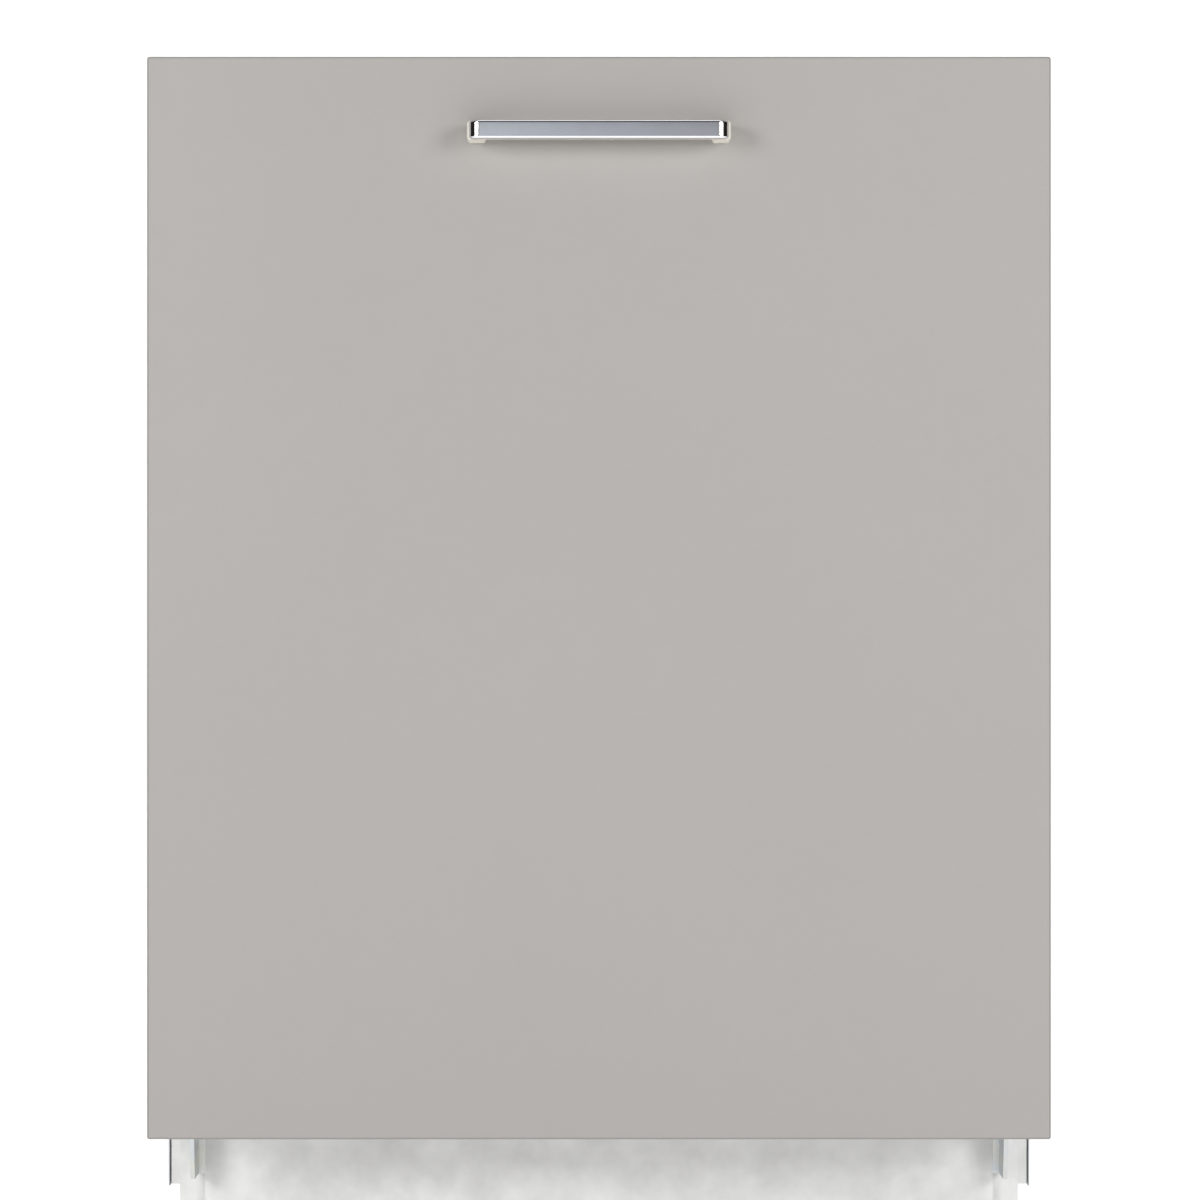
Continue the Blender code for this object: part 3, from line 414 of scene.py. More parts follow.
def coated_wire():
    """Nylon powder on steel wire, slightly lumpy, with a soft gloss."""
    finish, place, shader = start_finish("coated_wire", (0.42, 0.43, 0.45), 0.34, coat=0.15)
    lumps = grain(place, 420.0, 3.0)
    feed(shader, "Base Color", lumps.between(0.3, 0.7).mix(rgb(0.38, 0.39, 0.41), rgb(0.46, 0.47, 0.49)))
    feed(shader, "Roughness", lumps * 0.18 + 0.26)
    relief(shader, lumps, 0.0001, 0.35)
    return finish


def pierced_sheet():
    """Stainless sheet with a close pattern of small holes painted near-black, as painted shade."""
    finish, place, shader = start_finish("pierced_sheet", (0.60, 0.60, 0.59), 0.28, metal=1.0)
    cell = place.node("ShaderNodeTexVoronoi", None, Vector=place, Scale=380.0, Randomness=0.0)
    rim = cell.between(0.28, 0.36)
    cloud = grain(place, 25.0).between(0.3, 0.7)
    sheet = cloud.mix(rgb(0.52, 0.52, 0.51), rgb(0.66, 0.66, 0.65))
    # Painted shade: inside each hole the colour is near-black and non-metallic, standing in for the shade
    # seen through the opening.
    feed(shader, "Base Color", rim.mix(rgb(0.015, 0.015, 0.015), sheet))
    feed(shader, "Metallic", rim)
    feed(shader, "Roughness", cloud * 0.10 + 0.22)
    relief(shader, rim, 0.0002, 0.5)
    return finish


FINISHES = {
    "laminate": laminate(),
    "chrome": chrome(),
    "galvanised": galvanised(),
    "liner": stainless("brushed_liner", (0.012, 1.0, 1.0)),
    "tub": stainless("brushed_tub", (1.0, 0.012, 1.0)),
    "pierced": pierced_sheet(),
    "zinc": zinc_plate(),
    "black": moulded("black_moulding", (0.028, 0.029, 0.031), 0.48, 1100.0, 0.00008),
    "grey": moulded("grey_moulding", (0.23, 0.235, 0.245)),
    "pale": moulded("pale_moulding", (0.60, 0.61, 0.615)),
    "plinth": moulded("plinth_moulding", (0.78, 0.78, 0.77), 0.55),
    "blue": moulded("blue_moulding", (0.055, 0.16, 0.36)),
    "rubber": seal_rubber(),
    "wire": coated_wire(),
}
print("finishes:", ", ".join(sorted(FINISHES)))


# %% [markdown]
# ## Give the frame's own parts their finish
# Many parts of the frame already have the right shape. They keep it and only take a finish.

# %% Finish the parts that stay
def finish_part(node, finish):
    """Put a finish on a part of the frame."""
    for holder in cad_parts[node].material_slots:
        holder.material = FINISHES[finish]


CORNERS = ("front_left", "front_right", "rear_left", "rear_right")
FINISHED = {
    "laminate": "front_panel",
    "zinc": (
        "handle_screw_left handle_screw_right panel_bracket_left panel_bracket_right "
        "hinge_arm_left hinge_arm_right hinge_bracket_left hinge_bracket_right "
        "door_spring_left door_spring_right latch_strike"
    ),
    "galvanised": "door_outer_sheet side_panel_left side_panel_right rear_panel top_cover",
    "liner": "door_liner",
    "black": "control_fascia circulation_pump",
    "grey": (
        "door_latch dispenser_housing tub_floor sump drain_pump supply_pipe coarse_filter "
        "lower_spray_arm upper_spray_arm cutlery_tray"
    ),
    "pale": (
        "dispenser_lid water_softener inlet_valve button_power button_eco button_quick "
        "button_start"
    ),
    "blue": "rinse_aid_cap salt_cap",
    "plinth": "toe_plate base_pan",
    "tub": "tub_wrapper rail_left rail_right tray_rail_left tray_rail_right",
    "rubber": "door_gasket",
    "pierced": "micro_filter",
    "wire": "lower_rack upper_rack fold_tines",
    "chrome": "handle_bow",
}
count = 0
for finish, names in FINISHED.items():
    for node in names.split():
        finish_part(node, finish)
        count += 1
for corner in CORNERS:
    finish_part("foot_" + corner, "plinth")
    finish_part("wheel_" + corner, "pale")
    count += 2
print("finished", count, "parts of the frame")

# %% [markdown]
# ## Making pieces
# A finer piece is drawn with bmesh operators in the machine's own space, then turned into
# an object, finished and hung on the body it moves with, and the frame part that it
# replaces is hidden.

# %% Helpers for pieces
def shade_by_angle(holder, degrees=35.0):
    """Smooth shading with crisp sharp edges, and broad faces kept flat."""
    mesh = holder.data
    mesh.shade_smooth()
    shape = bmesh.new()
    shape.from_mesh(mesh)
    for edge in shape.edges:
        if len(edge.link_faces) == 2 and edge.calc_face_angle(0.0) > math.radians(degrees):
            edge.smooth = False
    shape.to_mesh(mesh)
    shape.free()
    even = holder.modifiers.new("even", "WEIGHTED_NORMAL")
    even.keep_sharp = True
    settle(holder)


def settle(holder):
    """Turn an object's modifiers into its mesh."""
    bpy.context.view_layer.update()
    seen = holder.evaluated_get(bpy.context.evaluated_depsgraph_get())
    mesh = bpy.data.meshes.new_from_object(seen)
    holder.modifiers.clear()
    holder.data = mesh


def to_object(name, shape):
    """A linked object from a bmesh, with its faces turned outwards."""
    bmesh.ops.recalc_face_normals(shape, faces=shape.faces)
    mesh = bpy.data.meshes.new(name)
    shape.to_mesh(mesh)
    shape.free()
    made = bpy.data.objects.new(name, mesh)
    studio.collection.objects.link(made)
    return made


def add_piece(name, shape, finish, body, hides=(), wall=None, degrees=35.0):
    """Finish a piece, give a skin its wall, hang it on its body and hide what it replaces."""
    made = shape if isinstance(shape, bpy.types.Object) else to_object(name, shape)
    if wall:
        thicken = made.modifiers.new("wall", "SOLIDIFY")
        thicken.thickness = wall[0]
        thicken.offset = wall[1]
        settle(made)
    shade_by_angle(made, degrees)
    made.data.materials.clear()
    made.data.materials.append(FINISHES[finish] if isinstance(finish, str) else finish)
    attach(made, body)
    if hides:
        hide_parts(*hides)
    print("piece", name, "-", len(made.data.polygons), "faces")
    return made


def carve(target, cutters, operation="DIFFERENCE"):
    """Cut bmesh shapes out of an object, or weld them on."""
    for shape in cutters:
        cutter = to_object("cutter", shape)
        step = target.modifiers.new("carve", "BOOLEAN")
        step.operation = operation
        step.solver = "EXACT"
        step.object = cutter
        settle(target)
        bpy.data.objects.remove(cutter)


def block(low, high, into=None):
    """A box between two corners, as a bmesh cube moved and scaled into place."""
    shape = into or bmesh.new()
    size = [high[axis] - low[axis] for axis in range(3)]
    middle = [(high[axis] + low[axis]) / 2.0 for axis in range(3)]
    place = Matrix.Translation(middle) @ Matrix.Diagonal((*size, 1.0))
    bmesh.ops.create_cube(shape, size=1.0, matrix=place)
    return shape


def round_edges(shape, radius, segments=3, edges=None):
    """Bevel some edges, or all of them, to a round."""
    chosen = list(shape.edges) if edges is None else edges
    bmesh.ops.bevel(shape, geom=chosen, offset=radius, offset_type="OFFSET", segments=segments,
                    profile=0.5, affect="EDGES", material=-1, clamp_overlap=True)
    return shape


def edges_along(shape, axis, keep=None):
    """Edges that run along X, Y or Z, and whose middle passes a test."""
    chosen = []
    for edge in shape.edges:
        run = edge.verts[1].co - edge.verts[0].co
        middle = (edge.verts[0].co + edge.verts[1].co) / 2.0
        if abs(abs(run.normalized()["XYZ".index(axis)]) - 1.0) < 1e-4 and (keep is None or keep(middle)):
            chosen.append(edge)
    return chosen


def slice_all(shape, place, normal):
    """Cut a whole shape along a plane without removing anything."""
    bmesh.ops.bisect_plane(shape, geom=shape.verts[:] + shape.edges[:] + shape.faces[:], plane_co=place,
                           plane_no=normal, dist=0.00001)


def gather(shape, mesh):
    """Add a spare mesh to a growing shape."""
    shape.from_mesh(mesh)
    bpy.data.meshes.remove(mesh)
    return shape


def join_in(shape, part):
    """Add one shape to another and drop it."""
    spare = bpy.data.meshes.new("spare")
    part.to_mesh(spare)
    part.free()
    return gather(shape, spare)


def soft_block(low, high, radius, segments=2, into=None):
    """A box with rounded edges, added to a shape that may already hold others."""
    lone = round_edges(block(low, high), radius, segments)
    return lone if into is None else join_in(into, lone)


def disc(shape, axis, place, radius, depth, segments=32, top=None):
    """A closed round stub standing on a point, along an axis."""
    turns = {"X": Matrix.Rotation(math.radians(90.0), 4, "Y"), "Z": Matrix.Identity(4),
             "Y": Matrix.Rotation(math.radians(-90.0), 4, "X")}
    where = Matrix.Translation(place) @ turns[axis] @ Matrix.Translation((0.0, 0.0, depth / 2.0))
    bmesh.ops.create_cone(shape, cap_ends=True, segments=segments, radius1=radius,
                          radius2=radius if top is None else top, depth=depth, matrix=where)
    return shape


def side_blocks(shape, inner, outer, near, far, radius, segments):
    """The same soft block on the left and on the right, between two (Y, Z) corners."""
    for sign in (-1, 1):
        left, right = sorted((sign * inner, sign * outer))
        soft_block((left, *near), (right, *far), radius, segments, shape)


def spread(first, last, count):
    """Evenly spaced numbers, with both ends among them."""
    return [first + (last - first) * index / (count - 1) for index in range(count)]


def middle_of(node):
    """The middle of a part of the frame."""
    low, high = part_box(node)
    return (low + high) / 2.0


# Middles of the round places that several pieces share: X and Y in the tub floor, and X and Z
# of the rinse-aid mouth in the door.
SUMP = (0.0, 0.030)
FILTER = (0.052, 0.012)
SALT = (-0.190, -0.100)
RINSE = (-0.055, 0.625)
print("piece helpers ready")

# %% [markdown]
# ## The front board
# A board is nearly a plain block, and what makes it real is its edges: the band is
# scraped to a small round, and the corners are eased by a millimetre so they do not cut.

# %% Front board
def front_board():
    """Board with eased corners, a scraped rim and the holes for the handle's screws."""
    low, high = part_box("front_panel")
    shape = block(low, high)
    round_edges(shape, 0.0014, 4, edges_along(shape, "Y"))
    rim = [edge for edge in shape.edges if abs(edge.verts[0].co.y - edge.verts[1].co.y) < 1e-6]
    round_edges(shape, 0.0006, 3, rim)
    board = to_object("board", shape)
    for side in ("left", "right"):
        near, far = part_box("handle_screw_" + side)
        middle, radius = (near + far) / 2.0, (far.z - near.z) / 2.0
        carve(board, [disc(bmesh.new(), "Y", (middle.x, low.y - 0.01, middle.z), radius + 0.0004, 0.05, 32)])
    add_piece("board", board, "laminate", "door", ("front_panel",))


front_board()

# %% [markdown]
# ## The bow handle
# The real handle is cast in one piece, ground flat on its face and rounded at the two
# bends. It is made here the way it would be milled: a solid block has its two front
# corners rounded to a centimetre, the finger space is cut out from behind with smaller
# rounds, and every edge is broken by two millimetres so that it catches a highlight.

# %% Bow handle
def bow_handle():
    """Block with rounded bends, hollowed behind, with broken edges."""
    low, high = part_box("handle_bow")
    bow = block(low, high)
    bends = edges_along(bow, "Z", lambda middle: middle.y < low.y + 0.001)
    round_edges(bow, 0.0100, 16, bends)
    solid = to_object("bow_handle", bow)
    space = block((low.x + 0.012, low.y + 0.008, low.z - 0.01),
                  (high.x - 0.012, high.y + 0.01, high.z + 0.01))
    inner = edges_along(space, "Z", lambda middle: middle.y < low.y + 0.009)
    round_edges(space, 0.0045, 10, inner)
    carve(solid, [space])
    shape = bmesh.new()
    shape.from_mesh(solid.data)
    bmesh.ops.remove_doubles(shape, verts=shape.verts, dist=0.00002)
    bmesh.ops.dissolve_limit(shape, angle_limit=0.002, verts=shape.verts, edges=shape.edges)
    flat = [edge for edge in shape.edges if abs(edge.verts[0].co.z - edge.verts[1].co.z) < 1e-5
            and edge.calc_face_angle(0.0) > math.radians(60.0)]
    round_edges(shape, 0.0019, 5, flat)
    shape.to_mesh(solid.data)
    shape.free()
    return add_piece("bow_handle", solid, "chrome", "door", ("handle_bow",), degrees=50.0)


bow_handle()

# %% [markdown]
# ## Pressed sheet
# Thin sheet is stiffened by pressing shallow panels into it. One helper lays a sheet flat,
# slices it where the panels begin and end, rounds each panel's corners by bevelling its
# corner points, and sinks it with an inset that also moves inwards, which gives the
# sloped wall a press tool leaves.

# %% Pressed sheet helper
def pressed_sheet(wide, tall, panels, sink, slope=0.006, corner=0.018):
    """A flat sheet in X and Z facing -Y, centred, with panels (x0, x1, z0, z1) pressed inwards."""
    sheet = bmesh.new()
    flat = Matrix.Rotation(math.radians(90.0), 4, "X") @ Matrix.Diagonal((wide, tall, 1.0, 1.0))
    bmesh.ops.create_grid(sheet, x_segments=1, y_segments=1, size=0.5, matrix=flat)
    for x0, x1, z0, z1 in panels:
        for place, normal in (((x0, 0, 0), (1, 0, 0)), ((x1, 0, 0), (1, 0, 0)),
                              ((0, 0, z0), (0, 0, 1)), ((0, 0, z1), (0, 0, 1))):
            slice_all(sheet, place, normal)
    for x0, x1, z0, z1 in panels:
        inside = []
        for face in sheet.faces:
            middle = face.calc_center_median()
            if x0 < middle.x < x1 and z0 < middle.z < z1 and abs(middle.y) < 0.00001:
                inside.append(face)
        if len(inside) > 1:
            merged = bmesh.ops.dissolve_faces(sheet, faces=inside, use_verts=False)
            inside = merged["region"]
        corners = []
        for vert in inside[0].verts:
            at_side = min(abs(vert.co.x - x0), abs(vert.co.x - x1)) < 0.0001
            at_end = min(abs(vert.co.z - z0), abs(vert.co.z - z1)) < 0.0001
            if at_side and at_end:
                corners.append(vert)
        target = Vector(((x0 + x1) / 2.0, 0.0, (z0 + z1) / 2.0))
        bmesh.ops.bevel(sheet, geom=corners, offset=corner, offset_type="OFFSET", segments=6,
                        profile=0.5, affect="VERTICES", material=-1)
        sheet.faces.ensure_lookup_table()
        panel = min(sheet.faces, key=lambda face: (face.calc_center_median() - target).length
                    if face.calc_area() > (x1 - x0) * (z1 - z0) * 0.5 else 9.0)
        bmesh.ops.inset_region(sheet, faces=[panel], thickness=slope, depth=0.0, use_even_offset=True)
        bmesh.ops.translate(sheet, vec=(0.0, sink, 0.0), verts=list(panel.verts))
    return sheet


def fold_rim(sheet, test, move):
    """Turn a sheet's rim over into a flange: the rim edges that pass a test are drawn out."""
    rim = [edge for edge in sheet.edges if edge.is_boundary and all(test(vert.co) for vert in edge.verts)]
    grown = bmesh.ops.extrude_edge_only(sheet, edges=rim)
    fresh = [item for item in grown["geom"] if isinstance(item, bmesh.types.BMVert)]
    bmesh.ops.translate(sheet, vec=move, verts=fresh)


# %% [markdown]
# The two side sheets carry two tall pressed panels each. Their front and rear rims are
# folded in by a centimetre, and the foot is cut back where the plinth board passes.

# %% Side sheets
def side_sheet(side, sign):
    """Galvanised side with two pressed panels, folded rims and a plinth cut-out."""
    node = "side_panel_" + side
    low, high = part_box(node)
    long, tall = high.y - low.y, high.z - low.z
    middle = Vector((0.0, (low.y + high.y) / 2.0, (low.z + high.z) / 2.0))
    foot, top = -tall * 0.34, tall * 0.44
    panels = [(-long * 0.40, -0.02, foot, top), (0.02, long * 0.42, foot, top)]
    sheet = pressed_sheet(long, tall, panels, 0.0032, slope=0.0045)
    slice_all(sheet, (-long / 2.0 + 0.0445, 0, 0), (1, 0, 0))
    slice_all(sheet, (0, 0, -tall / 2.0 + 0.074), (0, 0, 1))
    corner = [face for face in sheet.faces if face.calc_center_median().x < -long / 2.0 + 0.044
              and face.calc_center_median().z < -tall / 2.0 + 0.073]
    bmesh.ops.delete(sheet, geom=corner, context="FACES")
    front, back = -long / 2.0, long / 2.0
    fold_rim(sheet, lambda co: abs(co.x - front) < 1e-4, (0.0, 0.0090, 0.0))
    fold_rim(sheet, lambda co: abs(co.x - back) < 1e-4 and abs(co.y) < 1e-4, (0.0, 0.0090, 0.0))
    if sign < 0:
        bmesh.ops.scale(sheet, vec=(-1.0, 1.0, 1.0), verts=sheet.verts)
    bmesh.ops.transform(sheet, matrix=Matrix.Rotation(math.radians(90.0 * sign), 4, "Z"), verts=sheet.verts)
    bmesh.ops.translate(sheet, vec=(sign * 0.2980, middle.y, middle.z), verts=sheet.verts)
    return add_piece("side_sheet_" + side, sheet, "galvanised", "machine", (node,),
                     wall=(0.0009, 0.0))


side_sheet("left", -1)
side_sheet("right", 1)


# %% [markdown]
# A fastener is small, but a back without any looks like a toy. The pan head is one tapered
# disc with a cross sunk into it, repeated where sheets are really screwed together.

# %% Screws
def screws(name, places, axis, sign, body, radius=0.0036):
    """Pan heads with a cross recess, standing out along an axis by 1.2 mm."""
    heads = bmesh.new()
    turn = {"X": Matrix.Rotation(math.radians(90.0 * sign), 4, "Y"),
            "Y": Matrix.Rotation(math.radians(-90.0 * sign), 4, "X"),
            "Z": Matrix.Rotation(math.radians(0.0 if sign > 0 else 180.0), 4, "X")}[axis]
    for place in places:
        head = bmesh.new()
        disc(head, "Z", (0.0, 0.0, 0.0), radius, 0.0012, 16, radius * 0.7)
        top = max(head.faces, key=lambda face: face.calc_center_median().z)
        bmesh.ops.inset_region(head, faces=[top], thickness=radius * 0.30, depth=0.0)
        bmesh.ops.inset_region(head, faces=[top], thickness=radius * 0.12, depth=-0.0007)
        bmesh.ops.transform(head, matrix=Matrix.Translation(place) @ turn, verts=head.verts)
        join_in(heads, head)
    return add_piece(name, heads, "zinc", body, degrees=25.0)


for side, sign in (("left", -1), ("right", 1)):
    spots = [(sign * 0.2978, y, z) for y in (-0.185, 0.282) for z in (0.150, 0.470, 0.795)]
    screws("side_screws_" + side, spots, "X", sign, "machine")


# %% [markdown]
# The back is one sheet with three pressed panels and a round service hole. The top is a
# sheet with two, open at the front where the catch passes.

# %% Rear sheet and top sheet
def rear_sheet():
    """Galvanised back with pressed panels and a service hole."""
    low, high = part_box("rear_panel")
    wide, tall = high.x - low.x, high.z - low.z
    middle = (low.z + high.z) / 2.0
    panels = [(x, x + 0.164, -0.200, 0.310) for x in (-0.262, -0.082, 0.098)]
    sheet = pressed_sheet(wide, tall, panels, 0.0036, slope=0.0045, corner=0.022)
    fold_rim(sheet, lambda co: abs(co.z - tall / 2.0) < 1e-4, (0.0, 0.0080, 0.0))
    bmesh.ops.transform(sheet, matrix=Matrix.Rotation(math.radians(180.0), 4, "Z"), verts=sheet.verts)
    bmesh.ops.translate(sheet, vec=(0.0, high.y - 0.0019, middle), verts=sheet.verts)
    back = add_piece("rear_sheet", sheet, "galvanised", "machine", ("rear_panel",),
                     wall=(0.0009, 0.0))
    carve(back, [disc(bmesh.new(), "Y", (0.150, high.y - 0.02, 0.200), 0.030, 0.04, 40)])
    shade_by_angle(back)
    spots = [(x, high.y - 0.0012, z) for x in (-0.286, 0.286) for z in (0.150, 0.330, 0.560, 0.790)]
    spots += [(x, high.y - 0.0012, 0.134) for x in (-0.100, 0.100)]
    screws("rear_screws", spots, "Y", 1, "machine")


def top_sheet():
    """Galvanised lid with pressed panels and down-turned rims."""
    low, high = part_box("top_cover")
    wide, deep = high.x - low.x - 0.001, high.y - low.y - 0.001
    middle = (low.y + high.y) / 2.0
    panels = [(-0.250, -0.015, -0.190, 0.200), (0.015, 0.250, -0.190, 0.200)]
    sheet = pressed_sheet(wide, deep, panels, 0.0030, slope=0.0045, corner=0.03)
    for test in (lambda co: abs(co.x + wide / 2.0) < 1e-4, lambda co: abs(co.x - wide / 2.0) < 1e-4,
                 lambda co: abs(co.z - deep / 2.0) < 1e-4 and abs(co.y) < 1e-4):
        fold_rim(sheet, test, (0.0, 0.0095, 0.0))
    bmesh.ops.transform(sheet, matrix=Matrix.Rotation(math.radians(-90.0), 4, "X"), verts=sheet.verts)
    bmesh.ops.translate(sheet, vec=(0.0, middle, high.z - 0.0017), verts=sheet.verts)
    add_piece("top_sheet", sheet, "galvanised", "machine", ("top_cover",), wall=(0.0009, 0.0))
    lips = bmesh.new()
    side_blocks(lips, 0.042, 0.2955, (low.y, low.z), (low.y + 0.0010, high.z - 0.0014), 0.0003, 1)
    add_piece("top_sheet_lips", lips, "galvanised", "machine")
    spots = [(x, y, high.z - 0.0012) for x in (-0.280, 0.280) for y in (-0.180, 0.050, 0.280)]
    screws("top_screws", spots, "Z", 1, "machine")


rear_sheet()
top_sheet()

# %% [markdown]
# ## The base
# The base is one big moulding. Its underside is ribbed so that it stays flat, and its feet
# have a flanged pad, a hexagon for the spanner and a threaded stem.

# %% Base ribs, vents and feet
def base_ribs():
    """Crossing ribs under the base pan and upright ribs round its walls."""
    low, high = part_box("base_pan")
    ribs = bmesh.new()
    for x in spread(low.x + 0.03, high.x - 0.03, 9):
        soft_block((x - 0.0015, low.y + 0.01, low.z - 0.006), (x + 0.0015, high.y - 0.01, low.z + 0.001),
                   0.0007, 1, ribs)
    for y in spread(low.y + 0.03, high.y - 0.03, 7):
        soft_block((low.x + 0.01, y - 0.0015, low.z - 0.005), (high.x - 0.01, y + 0.0015, low.z + 0.001),
                   0.0007, 1, ribs)
    for x in spread(low.x + 0.02, high.x - 0.02, 16):
        if abs(x - 0.200) > 0.024:
            soft_block((x - 0.0015, high.y - 0.001, low.z + 0.006),
                       (x + 0.0015, high.y + 0.005, high.z - 0.004), 0.0007, 1, ribs)
    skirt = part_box("side_panel_left")[0].z
    side_blocks(ribs, high.x - 0.001, 0.2970, (-0.1540, skirt + 0.001), (-0.1400, high.z - 0.002), 0.0006, 1)
    add_piece("base_ribs", ribs, "plinth", "machine")


def foot(corner):
    """Adjustable foot: dished pad, hexagon and a stem cut with a thread."""
    node = "foot_" + corner
    x, y = middle_of(node).xy
    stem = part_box(node)[1].z - 0.0130
    shape = bmesh.new()
    disc(shape, "Z", (x, y, 0.0), 0.0198, 0.004, 40)
    round_edges(shape, 0.0010, 3, [edge for edge in shape.edges if edge.calc_face_angle(0.0) > 1.0])
    disc(shape, "Z", (x, y, 0.0035), 0.0175, 0.0045, 40, 0.0110)
    disc(shape, "Z", (x, y, 0.0075), 0.0100, 0.0060, 6)
    disc(shape, "Z", (x, y, 0.0130), 0.0052, stem, 20)
    for index in range(60):
        disc(shape, "Z", (x, y, 0.0145 + index * 0.0015), 0.0060, 0.0007, 20, 0.0053)
    add_piece("foot_piece_" + corner, shape, "plinth", node + "_body", (node,))


base_ribs()
for corner in CORNERS:
    foot(corner)


# %% Inlet thread
def inlet_thread():
    """Rings of a pipe thread round the inlet spigot, and a collar."""
    x, _, z = middle_of("inlet_valve")
    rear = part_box("inlet_valve")[1].y - 0.0015
    rings = bmesh.new()
    for index in range(6):
        disc(rings, "Y", (x, rear - index * 0.0017, z), 0.0130, 0.0009, 40, 0.0137)
    add_piece("inlet_thread", rings, "pale", "machine")


inlet_thread()

# %% [markdown]
# ## Wire work
# A dish rack is steel wire, bent cold into long U shapes, crossed, spot welded and dipped
# in nylon. A curve is the natural tool: each wire is a run of corner points, every corner
# is swapped for a short arc, and the curve's own round section gives the thickness.

# %% Bent wire helpers
def bent(points, radius, steps=4):
    """Replace each inner corner of a run by an arc of a given radius."""
    points = [Vector(point) for point in points]
    run = [points[0]]
    for before, corner, after in zip(points, points[1:], points[2:]):
        back = (before - corner).normalized()
        on = (after - corner).normalized()
        reach = min(radius, (before - corner).length * 0.45, (after - corner).length * 0.45)
        start = corner + back * reach
        end = corner + on * reach
        for step in range(steps + 1):
            share = step / steps
            along = start.lerp(corner, share)
            beyond = corner.lerp(end, share)
            run.append(along.lerp(beyond, share))
    run.append(points[-1])
    return run


def wire_mesh(name, runs, radius, closed=False, fine=1):
    """A mesh of round wires that follow runs of points."""
    curve = bpy.data.curves.new(name, "CURVE")
    curve.dimensions = "3D"
    curve.bevel_depth = radius
    curve.bevel_resolution = fine
    curve.use_fill_caps = True
    for run in runs:
        spline = curve.splines.new("POLY")
        spline.points.add(len(run) - 1)
        for point, place in zip(spline.points, run):
            point.co = (*place, 1.0)
        spline.use_cyclic_u = closed
    bundle = bpy.data.objects.new(name, curve)
    studio.collection.objects.link(bundle)
    bpy.context.view_layer.update()
    mesh = bpy.data.meshes.new_from_object(bundle.evaluated_get(bpy.context.evaluated_depsgraph_get()))
    bpy.data.objects.remove(bundle)
    return mesh


def loop_run(half, front, back, z, radius, steps=6):
    """A level closed loop with rounded corners."""
    points = [(0.0, front, z), (half, front, z), (half, back, z), (-half, back, z), (-half, front, z),
              (0.0, front, z)]
    run = bent(points, radius, steps)
    return run[:-1]


def tine(x, y, foot, tip):
    """One upright tine, its foot on the row wire."""
    return [(x, y, foot), (x, y, tip)]


# %% [markdown]
# Every rack gets the same basket: cross wires bent up at both sides, long wires bent up
# front and back just below them, a thick rim, and a thinner belt half way up.

# %% Basket
def basket(shape, half, front, back, floor, rim, across, along, thin=0.0016, thick=0.0026):
    """Cross wires, long wires, rim and belt of an open basket, added to a shape."""
    inner = half - thick
    cross = []
    for y in spread(front + 0.020, back - 0.020, along):
        cross.append(bent([(-inner, y, rim - thick), (-inner, y, floor + 0.0024), (inner, y, floor + 0.0024),
                           (inner, y, rim - thick)], 0.014))
    for x in spread(-half + 0.022, half - 0.022, across):
        cross.append(bent([(x, front + thick, rim - thick), (x, front + thick, floor + 0.0016),
                           (x, back - thick, floor + 0.0016), (x, back - thick, rim - thick)], 0.014))
    gather(shape, wire_mesh("cross", cross, thin))
    ring = loop_run(half - thick, front + thick, back - thick, rim - thick, 0.022)
    gather(shape, wire_mesh("rim", [ring], thick, closed=True, fine=2))
    belt = loop_run(half - thick, front + thick, back - thick, (floor + rim) / 2.0, 0.022)
    gather(shape, wire_mesh("belt", [belt], thin, closed=True))
    return shape


def rack_grip(rack, front, rim):
    """Moulded grip in the middle of a rack's front."""
    grip = soft_block((-0.080, front + 0.0002, rim - 0.020), (0.080, front + 0.012, rim - 0.0002), 0.003, 3)
    add_piece(rack + "_grip", grip, "grey", rack + "_body")


# %% Lower rack
def lower_rack():
    """Lower basket with a fixed tine row, wheel carriers and axles."""
    low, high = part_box("lower_rack")
    half = high.x - 0.011
    front, back = low.y, high.y
    floor = high.z - 0.115
    shape = basket(bmesh.new(), half, front, back, floor, high.z, 14, 13)
    row = front + 0.085
    tines = [tine(-0.224 + 0.028 * index, row, floor + 0.003, 0.290) for index in range(17)]
    tines.append([Vector((-half + 0.004, row, floor + 0.005)), Vector((half - 0.004, row, floor + 0.005))])
    gather(shape, wire_mesh("tines", tines, 0.0015))
    add_piece("lower_rack_wires", shape, "wire", "lower_rack_body", ("lower_rack",))

    carriers = bmesh.new()
    for end in ("front", "rear"):
        y = middle_of("wheel_" + end + "_left").y
        side_blocks(carriers, 0.2505, 0.2565, (y - 0.010, 0.155), (y + 0.010, 0.224), 0.0018, 2)
        for axle, cap in ((-0.2678, -0.2680), (0.2560, 0.2660)):
            disc(carriers, "X", (axle, y, 0.163), 0.0028, 0.0118, 20)
            disc(carriers, "X", (cap, y, 0.163), 0.0052, 0.0020, 24)
    add_piece("wheel_carriers", carriers, "grey", "lower_rack_body")

    rack_grip("lower_rack", front, high.z)


def folding_tines():
    """A row of tines on a rod that turns."""
    low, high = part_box("fold_tines")
    y, z = (low.y + high.y) / 2.0, low.z + 0.002
    runs = [[Vector((low.x, y, z)), Vector((high.x, y, z))]]
    runs += [tine(low.x + 0.011 + 0.028 * index, y, z, high.z) for index in range(17)]
    shape = gather(bmesh.new(), wire_mesh("tine_row", runs, 0.0017))
    add_piece("tine_row", shape, "wire", "fold_tines_body", ("fold_tines",))


lower_rack()
folding_tines()


# %% Upper rack
RUNNER_STUBS = (-0.150, 0.020, 0.190)


